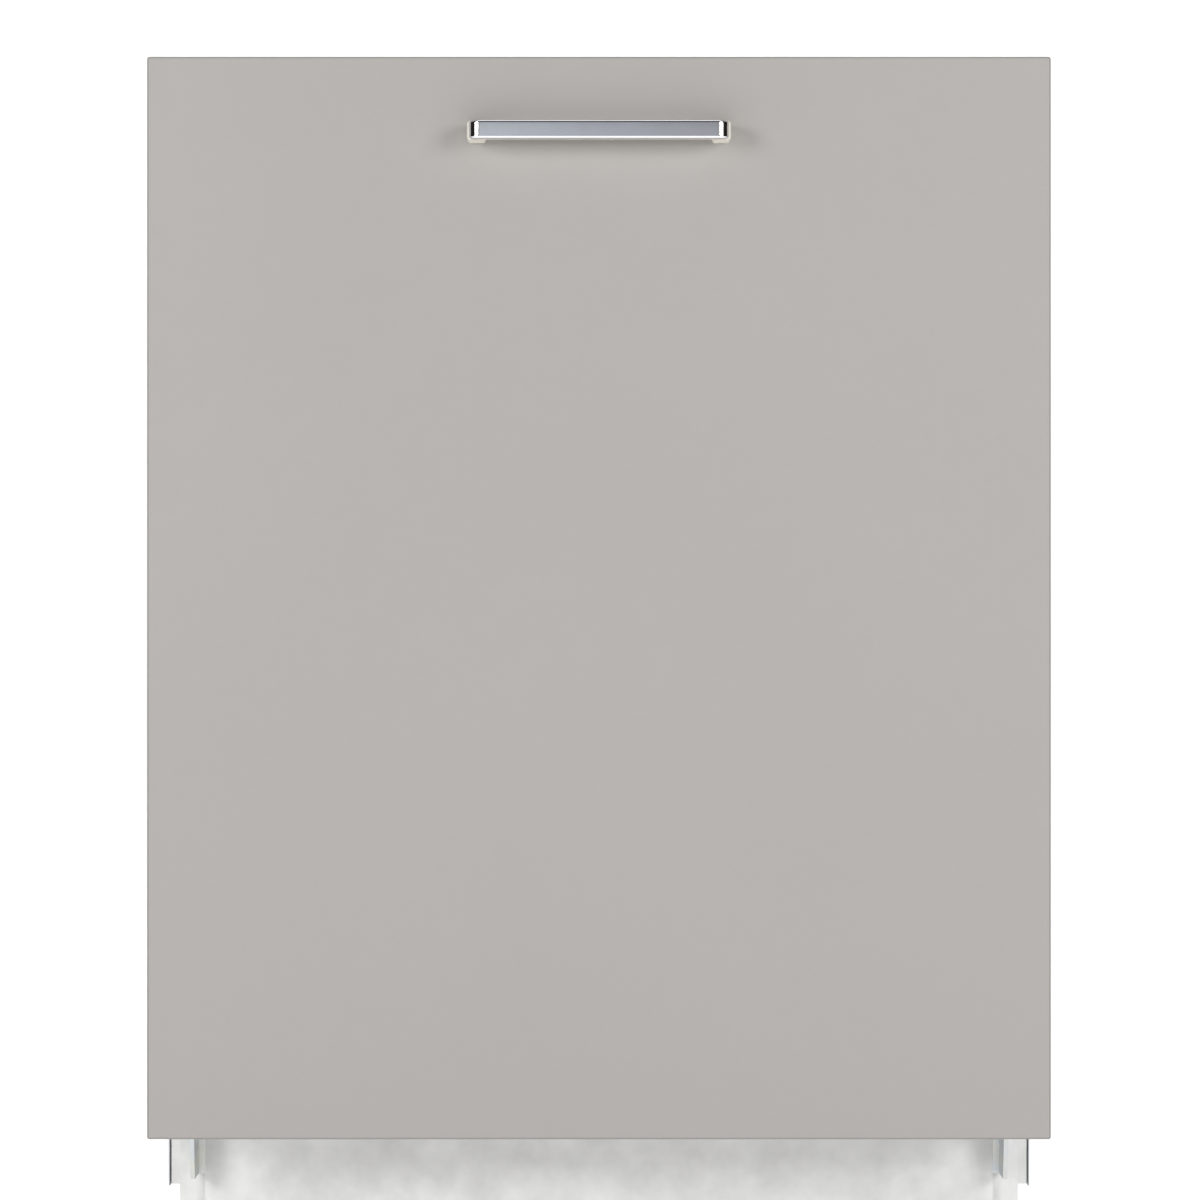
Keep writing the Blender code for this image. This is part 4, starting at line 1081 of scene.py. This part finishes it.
def upper_rack():
    """Upper basket with runners, two slanted tine rows and the feed tube of its arm."""
    low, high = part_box("upper_rack")
    half, front, back = 0.254, low.y, high.y - 0.003
    floor, rim = high.z - 0.110, high.z
    shape = basket(bmesh.new(), half, front, back, floor, rim, 12, 13)
    for x in (-0.130, 0.090):
        row = []
        for index in range(12):
            y = front + 0.035 + 0.030 * index
            row.append([Vector((x, y, floor + 0.003)), Vector((x + 0.018, y, floor + 0.060))])
        row.append([Vector((x, front + 0.02, floor + 0.0055)), Vector((x, back - 0.02, floor + 0.0055))])
        gather(shape, wire_mesh("cup_row", row, 0.0014))
    add_piece("upper_rack_wires", shape, "wire", "upper_rack_body", ("upper_rack",))

    parts = bmesh.new()
    side_blocks(parts, 0.2620, 0.2710, (front, 0.5795), (back, 0.5945), 0.0022, 2)
    for y in RUNNER_STUBS:
        side_blocks(parts, 0.2490, 0.2630, (y, 0.5815), (y + 0.014, 0.5925), 0.0018, 2)
    soft_block((-0.0095, 0.020, 0.5190), (0.0095, high.y, 0.5290), 0.0035, 3, parts)
    disc(parts, "Z", (*SUMP, 0.5000), 0.0075, 0.020, 28)
    add_piece("upper_rack_fittings", parts, "grey", "upper_rack_body")
    rack_grip("upper_rack", front, rim)


upper_rack()

# %% [markdown]
# ## Cutlery tray
# The tray is one moulding: a thin-walled frame, a floor of slats that drains, and rows of
# teeth that keep each knife and fork in its own place.

# %% Cutlery tray
def cutlery_tray():
    """Tray frame, slatted floor, combs of teeth and runners."""
    low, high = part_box("cutlery_tray")
    half, front, back = 0.254, low.y, high.y
    shape = bmesh.new()
    side_blocks(shape, half - 0.003, half, (front, low.z), (back, high.z), 0.0009, 2)
    side_blocks(shape, 0.2620, 0.2710, (front, 0.7465), (back, 0.7565), 0.0020, 2)
    for y in RUNNER_STUBS:
        side_blocks(shape, 0.2520, 0.2630, (y, 0.7475), (y + 0.014, 0.7555), 0.0015, 2)
    for y in (front, back - 0.003):
        soft_block((-half, y, low.z), (half, y + 0.003, high.z), 0.0009, 2, shape)
    for x in spread(-half + 0.012, half - 0.012, 27):
        soft_block((x - 0.0035, front + 0.001, low.z), (x + 0.0035, back - 0.001, low.z + 0.0028),
                   0.0008, 1, shape)
    for y in (-0.150, -0.080, -0.010, 0.060, 0.130, 0.205):
        soft_block((-half + 0.001, y - 0.002, low.z), (half - 0.001, y + 0.002, low.z + 0.0055),
                   0.0008, 1, shape)
        for x in spread(-half + 0.014, half - 0.014, 38):
            disc(shape, "Z", (x, y, low.z + 0.004), 0.0018, 0.0095, 8, 0.0009)
    add_piece("tray_moulding", shape, "grey", "cutlery_tray_body", ("cutlery_tray",))


cutlery_tray()

# %% [markdown]
# ## Spray arms
# A spray arm is two shells welded into a hollow wing. It is widest at the hub, thins to
# its tips, and has a crowned top. A long block is sliced across, narrowed at its ends,
# and its long edges are rounded; the jets are short tapered rings on its top.

# %% Spray arms
def wing(level, lift, bore_low, bore_top):
    """One spray arm: crowned wing lifted above the hub's foot, hub and jets."""
    node, name = level + "_spray_arm", level + "_wing"
    body = node + "_body"
    low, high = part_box(node)
    half = high.x
    base = low.z + lift
    top = base + 0.012
    line = SUMP[1]
    shape = block((-half, line - 0.021, base), (half, line + 0.021, top))
    for x in (-half * 0.7, -half * 0.35, -0.03, 0.03, half * 0.35, half * 0.7):
        slice_all(shape, (x, 0, 0), (1, 0, 0))
    for vert in shape.verts:
        share = abs(vert.co.x) / half
        narrow = 1.0 - 0.42 * share
        vert.co.y = line + (vert.co.y - line) * narrow
        if vert.co.z > base + 0.006:
            vert.co.z -= 0.004 * share
    rims = edges_along(shape, "Z", lambda middle: abs(middle.x) > half - 0.001)
    round_edges(shape, 0.0090, 8, rims)
    creases = [edge for edge in shape.edges if edge.calc_face_angle(0.0) > math.radians(40.0)]
    round_edges(shape, 0.0032, 3, creases)
    arm = to_object(name, shape)
    hub = bmesh.new()
    disc(hub, "Z", (*SUMP, low.z), 0.0225, high.z - low.z - 0.003, 40)
    disc(hub, "Z", (*SUMP, high.z - 0.003), 0.0225, 0.003, 40, 0.0195)
    bmesh.ops.remove_doubles(hub, verts=hub.verts, dist=0.00001)
    inner = [face for face in hub.faces if abs(face.normal.z) > 0.9
             and abs(face.calc_center_median().z - high.z + 0.003) < 0.0005]
    bmesh.ops.delete(hub, geom=inner, context="FACES")
    carve(arm, [hub], "UNION")
    carve(arm, [disc(bmesh.new(), "Z", (*SUMP, bore_low), 0.0105, bore_top - bore_low, 32)])
    add_piece(name, arm, "grey", body, (node,))
    jets = bmesh.new()
    for index in range(7):
        for sign in (-1, 1):
            x = sign * (0.045 + index * (half - 0.07) / 6.5)
            y = line + (0.006 if index % 2 else -0.006)
            rise = top - 0.004 * abs(x) / half - 0.0006
            disc(jets, "Z", (x, y, rise), 0.0032, 0.0022, 16, 0.0022)
    add_piece(name + "_jets", jets, "black", body)


wing("lower", 0.013, 0.170, 0.1895)
wing("upper", 0.004, 0.4965, 0.520)

# %% [markdown]
# ## Inner face of the door
# The liner is deep drawn: one big dish with soft corners, a raised bead round its floor to
# stop it drumming, and rims folded forward over the door's edges. The openings for the
# dispenser and the catch are cut last, as a punch would.

# %% Door liner
def rounded_cutter(low, high, radius, axis="Y", segments=5):
    """A block whose edges along one axis are rounded, to cut a soft-cornered hole."""
    shape = block(low, high)
    return round_edges(shape, radius, segments, edges_along(shape, axis))


def door_liner():
    """Deep drawn inner face of the door."""
    low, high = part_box("door_liner")
    wide, tall = high.x - low.x - 0.001, high.z - low.z - 0.0008
    middle = (low.z + high.z) / 2.0
    dish = (-0.245, 0.245, 0.190 - middle, 0.740 - middle)
    sheet = pressed_sheet(wide, tall, [dish], -0.0093, slope=0.009, corner=0.030)
    centre = Vector((0.0, -0.0093, 0.0))
    for thickness, depth in ((0.014, 0.0), (0.004, 0.0022), (0.008, 0.0), (0.004, -0.0022)):
        sheet.faces.ensure_lookup_table()
        level = [face for face in sheet.faces if abs(face.normal.y) > 0.99
                 and (face.calc_center_median() - centre).length < 0.03]
        floor = max(level, key=lambda face: face.calc_area())
        bmesh.ops.inset_region(sheet, faces=[floor], thickness=thickness, depth=0.0, use_even_offset=True)
        bmesh.ops.translate(sheet, vec=(0.0, depth, 0.0), verts=list(floor.verts))
    for x in (-0.278, -0.130, -0.010, 0.110, 0.278):
        slice_all(sheet, (x, 0, 0), (1, 0, 0))
    for z in (0.420, 0.5525, 0.690):
        slice_all(sheet, (0, 0, z - middle), (0, 0, 1))
    foot = -tall / 2.0
    fold_rim(sheet, lambda co: abs(co.z - foot) < 1e-4 and abs(co.x) < 0.2785, (0.0, -0.044, 0.0))
    for side in (-1, 1):
        fold_rim(sheet, lambda co: abs(co.x - side * wide / 2.0) < 1e-4, (0.0, -0.024, 0.0))
    bmesh.ops.translate(sheet, vec=(0.0, -0.2055, middle), verts=sheet.verts)
    liner = to_object("drawn_liner", sheet)
    add_piece("drawn_liner", liner, "liner", "door", ("door_liner",), wall=(0.0009, 0.0))
    carve(liner, [rounded_cutter((-0.1005, -0.230, 0.4445), (0.0805, -0.200, 0.6605), 0.006),
                  rounded_cutter((-0.030, -0.215, 0.794), (0.030, -0.200, 0.820), 0.003)])
    shade_by_angle(liner)


door_liner()

# %% [markdown]
# The dispenser is let into the liner: a face plate with soft corners, a cup for the
# tablet, a channel for the lid, a round mouth for the rinse aid with a level window.

# %% Dispenser
def dispenser():
    """Housing, level window and lid catch of the detergent and rinse-aid unit."""
    face = block((-0.105, -0.2139, 0.440), (0.085, -0.2119, 0.665))
    round_edges(face, 0.010, 6, edges_along(face, "Y"))
    rim = [edge for edge in face.edges if all(vert.co.y > -0.2120 for vert in edge.verts)]
    round_edges(face, 0.0009, 2, rim)
    holder = to_object("dispenser_case", face)
    well = block((-0.099, -0.2448, 0.446), (0.079, -0.2130, 0.659))
    round_edges(well, 0.006, 3, edges_along(well, "Y"))
    carve(holder, [well], "UNION")
    cup = rounded_cutter((-0.090, -0.2400, 0.460), (-0.010, -0.200, 0.580), 0.009)
    slide = rounded_cutter((-0.007, -0.2131, 0.457), (0.078, -0.200, 0.583), 0.003)
    mouth = disc(bmesh.new(), "Y", (RINSE[0], -0.2300, RINSE[1]), 0.0100, 0.03, 40)
    dish = disc(bmesh.new(), "Y", (RINSE[0], -0.2132, RINSE[1]), 0.0185, 0.02, 48)
    gauge = disc(bmesh.new(), "Y", (0.000, -0.2130, RINSE[1]), 0.0062, 0.02, 32)
    carve(holder, [cup, slide, mouth, dish, gauge])
    add_piece("dispenser_case", holder, "grey", "door", ("dispenser_housing",))

    extras = bmesh.new()
    disc(extras, "Y", (0.000, -0.2131, 0.625), 0.0056, 0.0008, 32)
    for z in (0.4600, 0.5785):
        soft_block((0.002, -0.2132, z), (0.074, -0.2118, z + 0.0015), 0.0004, 1, extras)
    for index in range(5):
        x = 0.020 + 0.006 * index
        soft_block((x, -0.2133, 0.480), (x + 0.002, -0.2124, 0.560), 0.0003, 1, extras)
    add_piece("dispenser_window", extras, "black", "door")
    catch = soft_block((0.024, -0.2125, 0.610), (0.058, -0.2085, 0.636), 0.0012, 3)
    add_piece("lid_catch", catch, "pale", "door")


def dispenser_lid():
    """Sliding lid with a rolled edge and a finger ridge."""
    low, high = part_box("dispenser_lid")
    shape = block((low.x, -0.2113, low.z), (high.x, -0.2091, high.z))
    round_edges(shape, 0.0060, 5, edges_along(shape, "Y"))
    front = max(shape.faces, key=lambda face: face.calc_center_median().y)
    bmesh.ops.inset_region(shape, faces=[front], thickness=0.0006, depth=0.0)
    bmesh.ops.inset_region(shape, faces=[front], thickness=0.0034, depth=0.0)
    bmesh.ops.inset_region(shape, faces=[front], thickness=0.0010, depth=-0.0007)
    for index in range(4):
        x = low.x + 0.011 + 0.0034 * index
        soft_block((x, -0.2105, low.z + 0.030), (x + 0.0018, -0.2074, high.z - 0.030), 0.0006, 2, shape)
    add_piece("lid_plate", shape, "pale", "dispenser_lid_body", ("dispenser_lid",))


def turn_cap(name, node, axis, place, radius, top, foot, grip):
    """A round cap with a fluted edge and a raised grip across it."""
    shape = bmesh.new()
    disc(shape, axis, place, radius, foot, 48)
    crown = [edge for edge in shape.edges if edge.calc_face_angle(0.0) > 1.0]
    round_edges(shape, 0.0006, 2, crown)
    along = {"Y": Vector((0, 1, 0)), "Z": Vector((0, 0, 1))}[axis]
    across = {"Y": Vector((0, 0, 1)), "Z": Vector((0, 1, 0))}[axis]
    stand = Vector(place) + along * (foot - 0.0002)
    for index in range(24):
        angle = math.tau * index / 24
        outward = Vector((1, 0, 0)) * math.cos(angle) + across * math.sin(angle)
        flute = Vector(place) + outward * (radius - 0.0011) + along * 0.0002
        disc(shape, axis, flute, 0.0009, foot + 0.0002, 10)
    low = stand - Vector((1, 0, 0)) * grip - across * 0.0021
    high = stand + Vector((1, 0, 0)) * grip + across * 0.0021 + along * top
    near = [min(pair) for pair in zip(low, high)]
    far = [max(pair) for pair in zip(low, high)]
    soft_block(near, far, 0.0009, 3, shape)
    return add_piece(name, shape, "blue", node + "_body", (node,))


dispenser()
dispenser_lid()
turn_cap("rinse_knob", "rinse_aid_cap", "Y", (RINSE[0], -0.2112, RINSE[1]), 0.0130, 0.0022, 0.0012, 0.0115)
turn_cap("salt_knob", "salt_cap", "Z", (*SALT, 0.1484), 0.0268, 0.0095, 0.0075, 0.0205)

# %% [markdown]
# The controls sit in the door's top edge, out of sight while the door is shut. The strip
# has a soft front edge, wells for four keys, and a dark glass window with three lamps.

# %% Control strip
def control_strip():
    """Strip with wells for the keys and a display window."""
    low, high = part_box("control_fascia")
    shape = block((low.x, low.y, low.z), (high.x, high.y, high.z))
    long_edges = edges_along(shape, "X", lambda middle: middle.z > 0.80)
    round_edges(shape, 0.0022, 5, long_edges)
    strip = to_object("strip", shape)
    wells = [rounded_cutter((x - 0.0085, -0.2380, 0.8020), (x + 0.0085, -0.2260, 0.830), 0.0016, "Z")
             for x in (-0.240, -0.110, -0.075, 0.240)]
    window = rounded_cutter((0.010, -0.2400, high.z - 0.0007), (0.100, -0.2240, 0.830), 0.0025, "Z")
    carve(strip, wells + [window])
    add_piece("key_strip", strip, "black", "door", ("control_fascia",))
    glass = block((0.0103, -0.2397, high.z - 0.0010), (0.0997, -0.2243, high.z - 0.0002))
    round_edges(glass, 0.0023, 4, edges_along(glass, "Z"))
    add_piece("display_window", glass, display_glass(), "door")
    marks = bmesh.new()
    top = high.z - 0.00005
    for x, turns in ((-0.240, 1), (-0.110, 2), (-0.075, 3), (0.240, 4)):
        for index in range(turns):
            dot = x + 0.003 * (index - (turns - 1) / 2.0)
            disc(marks, "Z", (dot, -0.2205, top - 0.0004), 0.0009, 0.0006, 12)
        soft_block((x - 0.005, -0.2420, top - 0.0004), (x + 0.005, -0.2413, top + 0.0002), 0.0001, 1, marks)
    add_piece("key_marks", marks, "pale", "door")


def display_glass():
    """Dark glass with a faint row of lit segments behind it."""
    finish, place, shader = start_finish("display_glass", (0.012, 0.013, 0.015), 0.08, coat=0.5)
    across = (axis_of(place, "X") - 0.055) / 0.030
    wave = across.node("ShaderNodeMath", {"operation": "PINGPONG"}, _0=across * 4.0, _1=0.5)
    lit = wave.above(0.36)
    feed(shader, "Emission Color", lit.mix(rgb(0.0, 0.0, 0.0), rgb(0.55, 0.75, 0.85)))
    shader.inputs["Emission Strength"].default_value = 0.12
    feed(shader, "Roughness", grain(place, 80.0) * 0.06 + 0.05)
    return finish


def keys():
    """Four keys with crowned, dished tops."""
    for label in ("power", "eco", "quick", "start"):
        node = "button_" + label
        low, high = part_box(node)
        shape = block(low, high)
        round_edges(shape, 0.0020, 4, edges_along(shape, "Z"))
        rim = [edge for edge in shape.edges if all(vert.co.z > high.z - 1e-5 for vert in edge.verts)]
        round_edges(shape, 0.0007, 3, rim)
        top = max(shape.faces, key=lambda face: (face.calc_center_median().z, face.calc_area()))
        bmesh.ops.inset_region(shape, faces=[top], thickness=0.0012, depth=0.0)
        bmesh.ops.inset_region(shape, faces=[top], thickness=0.0003, depth=-0.0003)
        add_piece("key_" + label, shape, "pale", node + "_body", (node,))


def catch_plate():
    """Catch with a chamfered tongue."""
    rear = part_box("control_fascia")[1].y + 0.0004
    shape = soft_block((-0.0278, rear, 0.7950), (0.0278, -0.2054, 0.8086), 0.0010, 2)
    tongue = block((-0.009, -0.2072, 0.8032), (0.009, -0.1905, 0.8084))
    tip = edges_along(tongue, "X", lambda middle: middle.y > -0.195)
    round_edges(tongue, 0.0018, 3, tip)
    join_in(shape, tongue)
    add_piece("catch_tongue", shape, "grey", "door", ("door_latch",))


control_strip()
keys()
catch_plate()

# %% [markdown]
# ## The tub
# The wrapper is a single sheet bent over, welded to its back. Top corners are generous,
# the back corners tight. Its walls carry shallow beads, between the rails, and its front
# edge is flanged outwards to carry the seal.

# %% Tub wrapper
def press_bead(shape, test, push, width=0.006):
    """Raise the faces that pass a test into a bead with sloped walls."""
    chosen = [face for face in shape.faces if test(face.calc_center_median()) and
              abs(abs(face.normal.dot(Vector(push).normalized())) - 1.0) < 0.01]
    if len(chosen) > 1:
        chosen = bmesh.ops.dissolve_faces(shape, faces=chosen, use_verts=False)["region"]
    bmesh.ops.inset_region(shape, faces=chosen, thickness=width, depth=0.0, use_even_offset=True)
    bmesh.ops.translate(shape, vec=push, verts=list({vert for face in chosen for vert in face.verts}))


def tub_shell():
    """Bent and beaded stainless shell, open at its front and foot."""
    half, front, back, foot, top = 0.2754, -0.1994, 0.2704, 0.1486, 0.7954
    shape = block((-half, front, foot), (half, back, top))
    gone = [face for face in shape.faces if face.calc_center_median().y < front + 1e-4
            or face.calc_center_median().z < foot + 1e-4]
    bmesh.ops.delete(shape, geom=gone, context="FACES")
    shoulders = edges_along(shape, "Y", lambda middle: middle.z > top - 1e-4)
    round_edges(shape, 0.022, 7, shoulders)
    rear = [edge for edge in shape.edges if not edge.is_boundary
            and all(vert.co.y > back - 1e-4 for vert in edge.verts)]
    round_edges(shape, 0.0075, 4, rear)
    for y in (-0.165, 0.235):
        slice_all(shape, (0, y, 0), (0, 1, 0))
    bands = ((0.250, 0.290), (0.345, 0.385), (0.440, 0.480), (0.645, 0.690))
    for z0, z1 in bands:
        slice_all(shape, (0, 0, z0), (0, 0, 1))
        slice_all(shape, (0, 0, z1), (0, 0, 1))
    for side in (-1, 1):
        for z0, z1 in bands:
            press_bead(shape, lambda spot: abs(spot.x - side * half) < 1e-4 and -0.165 < spot.y < 0.235
                       and z0 < spot.z < z1, (-side * 0.0018, 0.0, 0.0))
    for x0, x1 in ((-0.215, -0.125), (0.125, 0.215)):
        slice_all(shape, (x0, 0, 0), (1, 0, 0))
        slice_all(shape, (x1, 0, 0), (1, 0, 0))
        press_bead(shape, lambda spot: abs(spot.y - back) < 1e-4 and x0 < spot.x < x1
                   and 0.250 < spot.z < 0.690, (0.0, -0.0018, 0.0), 0.010)
    mouth = [edge for edge in shape.edges if edge.is_boundary
             and all(abs(vert.co.y - front) < 1e-4 for vert in edge.verts)]
    grown = bmesh.ops.extrude_edge_only(shape, edges=mouth)
    for item in grown["geom"]:
        if isinstance(item, bmesh.types.BMVert):
            item.co.x *= 0.2866 / half
            item.co.z = foot + (item.co.z - foot) * (0.8016 - foot) / (top - foot)
    tub = to_object("tub_shell", shape)
    add_piece("tub_shell", tub, "tub", "machine", ("tub_wrapper",), wall=(0.0008, 0.0))
    carve(tub, [block((-0.036, -0.215, 0.7963), (0.036, -0.195, 0.81))])
    shade_by_angle(tub)


tub_shell()


# %% Tub floor
def ring(shape, centre, profile, steps=64):
    """A closed ring turned from a profile of (radius, height) points."""
    fresh = bmesh.new()
    points = [fresh.verts.new((centre[0] + radius, centre[1], height)) for radius, height in profile]
    edges = [fresh.edges.new(pair) for pair in zip(points, points[1:] + points[:1])]
    bmesh.ops.spin(fresh, geom=points + edges, cent=(centre[0], centre[1], 0.0), axis=(0, 0, 1),
                   angle=math.tau, steps=steps, use_merge=True, use_duplicate=False)
    bmesh.ops.remove_doubles(fresh, verts=fresh.verts, dist=0.000001)
    bmesh.ops.recalc_face_normals(fresh, faces=fresh.faces)
    return join_in(shape, fresh)


def tub_floor():
    """Moulded floor with holes, drain ribs, wheel tracks and collars."""
    low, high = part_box("tub_floor")
    plate = block((low.x + 0.0004, low.y + 0.0004, low.z), (high.x - 0.0004, high.y - 0.0004, high.z))
    round_edges(plate, 0.012, 4, edges_along(plate, "Z"))
    for x, _ in (SUMP, SALT):
        slice_all(plate, (x, 0, 0), (1, 0, 0))
    for _, y in (SUMP, SALT):
        slice_all(plate, (0, y, 0), (0, 1, 0))
    floor = to_object("tub_base", plate)
    carve(floor, [disc(bmesh.new(), "Z", (*SUMP, 0.13), 0.098, 0.04, 96),
                  disc(bmesh.new(), "Z", (*SALT, 0.13), 0.030, 0.04, 48)])
    add_piece("tub_base", floor, "grey", "machine", ("tub_floor",))
    extras = bmesh.new()
    side_blocks(extras, 0.2545, 0.2690, (-0.190, 0.1478), (0.262, 0.1500), 0.0008, 2)
    ring(extras, SUMP, [(0.0985, 0.1446), (0.0985, 0.1480), (0.1010, 0.1494), (0.1130, 0.1494),
                        (0.1150, 0.1484), (0.1150, 0.1446)])
    ring(extras, SALT, [(0.0303, 0.1446), (0.0303, 0.1490), (0.0312, 0.1500), (0.0345, 0.1500),
                        (0.0362, 0.1484), (0.0362, 0.1446)], 48)
    for index in range(24):
        angle = math.tau * (index + 0.5) / 24
        rib = block((0.120, -0.0012, 0.1478), (0.165, 0.0012, 0.1492))
        round_edges(rib, 0.0005, 2)
        where = Matrix.Translation((*SUMP, 0.0)) @ Matrix.Rotation(angle, 4, "Z")
        bmesh.ops.transform(rib, matrix=where, verts=rib.verts)
        if all((vert.co.xy - Vector(SALT)).length > 0.040 for vert in rib.verts):
            join_in(extras, rib)
    add_piece("tub_base_ribs", extras, "grey", "machine")


tub_floor()


# %% Seal
def door_seal():
    """Hollow bulb seal round the mouth of the tub, with two lips."""
    runs = []
    for grow, depth in ((0.0, -0.2024), (0.0034, -0.2012), (-0.0034, -0.2012)):
        half, top = 0.2817 + grow, 0.7985 + (grow * 0.75)
        runs.append(bent([(-half, depth, 0.153), (-half, depth, top), (half, depth, top),
                          (half, depth, 0.153)], 0.020 + grow, 8))
    shape = gather(bmesh.new(), wire_mesh("bulb", runs[:1], 0.0019, fine=3))
    gather(shape, wire_mesh("lips", runs[1:], 0.0008, fine=1))
    add_piece("bulb_seal", shape, "rubber", "machine", ("door_gasket",), degrees=60.0)


door_seal()

# %% [markdown]
# ## Filters, wheels and the riser
# The sieve is pierced sheet: its holes are far too small to cut, so its finish paints them as near-black
# dots, painted shade where the openings are.
# The strainer is a cage of bars under a rim, with a handle to turn it.

# %% Filters
def strainer():
    """Coarse filter: rim, cage of bars and turning grip."""
    rim = [(0.0312, 0.1405), (0.0308, 0.1432), (0.0316, 0.1439), (0.0362, 0.1439), (0.0369, 0.1432),
           (0.0369, 0.1413), (0.0338, 0.1410), (0.0336, 0.1405)]
    shape = ring(bmesh.new(), FILTER, rim)
    for height in (0.066, 0.085, 0.104, 0.122):
        ring(shape, FILTER, [(0.0312, height), (0.0312, height + 0.0024), (0.0336, height + 0.0024),
                             (0.0336, height)], 40)
    for index in range(28):
        angle = math.tau * index / 28
        x, y = FILTER[0] + 0.0324 * math.cos(angle), FILTER[1] + 0.0324 * math.sin(angle)
        disc(shape, "Z", (x, y, 0.064), 0.0010, 0.0775, 8)
    disc(shape, "Z", (*FILTER, 0.0622), 0.0334, 0.0040, 40)
    soft_block((0.0200, 0.0096, 0.1290), (0.0840, 0.0144, 0.1655), 0.0016, 3, shape)
    for x in (0.028, 0.076):
        disc(shape, "Z", (x, FILTER[1], 0.1285), 0.0042, 0.0360, 20, 0.0036)
    add_piece("strainer_cage", shape, "grey", "coarse_filter_body", ("coarse_filter",))


strainer()


# %% Wheels
def wheel(corner):
    """Rack wheel with a crowned tread, a thin web and six spokes."""
    node = "wheel_" + corner
    low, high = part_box(node)
    radius = (high.z - low.z) / 2.0
    thick = (high.x - low.x) / 2.0
    shape = bmesh.new()
    tread = [(radius - 0.0026, -thick), (radius - 0.0007, -thick), (radius, -thick + 0.0010),
             (radius, thick - 0.0010), (radius - 0.0007, thick), (radius - 0.0026, thick)]
    hub = [(0.0034, -thick), (0.0052, -thick), (0.0056, -thick + 0.0005), (0.0056, thick - 0.0005),
           (0.0052, thick), (0.0034, thick)]
    web = [(0.0053, -0.0009), (radius - 0.0022, -0.0009), (radius - 0.0022, 0.0009), (0.0053, 0.0009)]
    for profile in (tread, hub, web):
        ring(shape, (0.0, 0.0), profile, 40)
    for index in range(6):
        spoke = block((0.0050, -0.0007, -thick + 0.0008), (radius - 0.0020, 0.0007, thick - 0.0008))
        bmesh.ops.rotate(spoke, cent=(0, 0, 0), matrix=Matrix.Rotation(math.tau * index / 6, 3, "Z"),
                         verts=spoke.verts)
        join_in(shape, spoke)
    where = Matrix.Translation(middle_of(node)) @ Matrix.Rotation(math.radians(90.0), 4, "Y")
    bmesh.ops.transform(shape, matrix=where, verts=shape.verts)
    add_piece("roller_" + corner, shape, "pale", node + "_body", (node,))


for corner in CORNERS:
    wheel(corner)


# %% Riser pipe
def riser():
    """Flat pipe up the back of the tub, with a docking funnel and clips."""
    shape = soft_block((-0.0198, 0.2525, 0.1495), (0.0198, 0.2672, 0.7895), 0.0055, 4)
    pipe = to_object("riser", shape)
    horn = block((-0.0138, 0.2397, 0.5112), (0.0138, 0.2560, 0.5378))
    round_edges(horn, 0.0035, 4, edges_along(horn, "Y"))
    carve(pipe, [horn], "UNION")
    carve(pipe, [rounded_cutter((-0.0092, 0.230, 0.5158), (0.0092, 0.2500, 0.5332), 0.0022)])
    add_piece("riser_pipe", pipe, "grey", "machine", ("supply_pipe",))
    clips = bmesh.new()
    for z in (0.230, 0.440, 0.640):
        soft_block((-0.0235, 0.2515, z), (0.0235, 0.2690, z + 0.010), 0.0016, 2, clips)
    add_piece("riser_clips", clips, "grey", "machine")


riser()
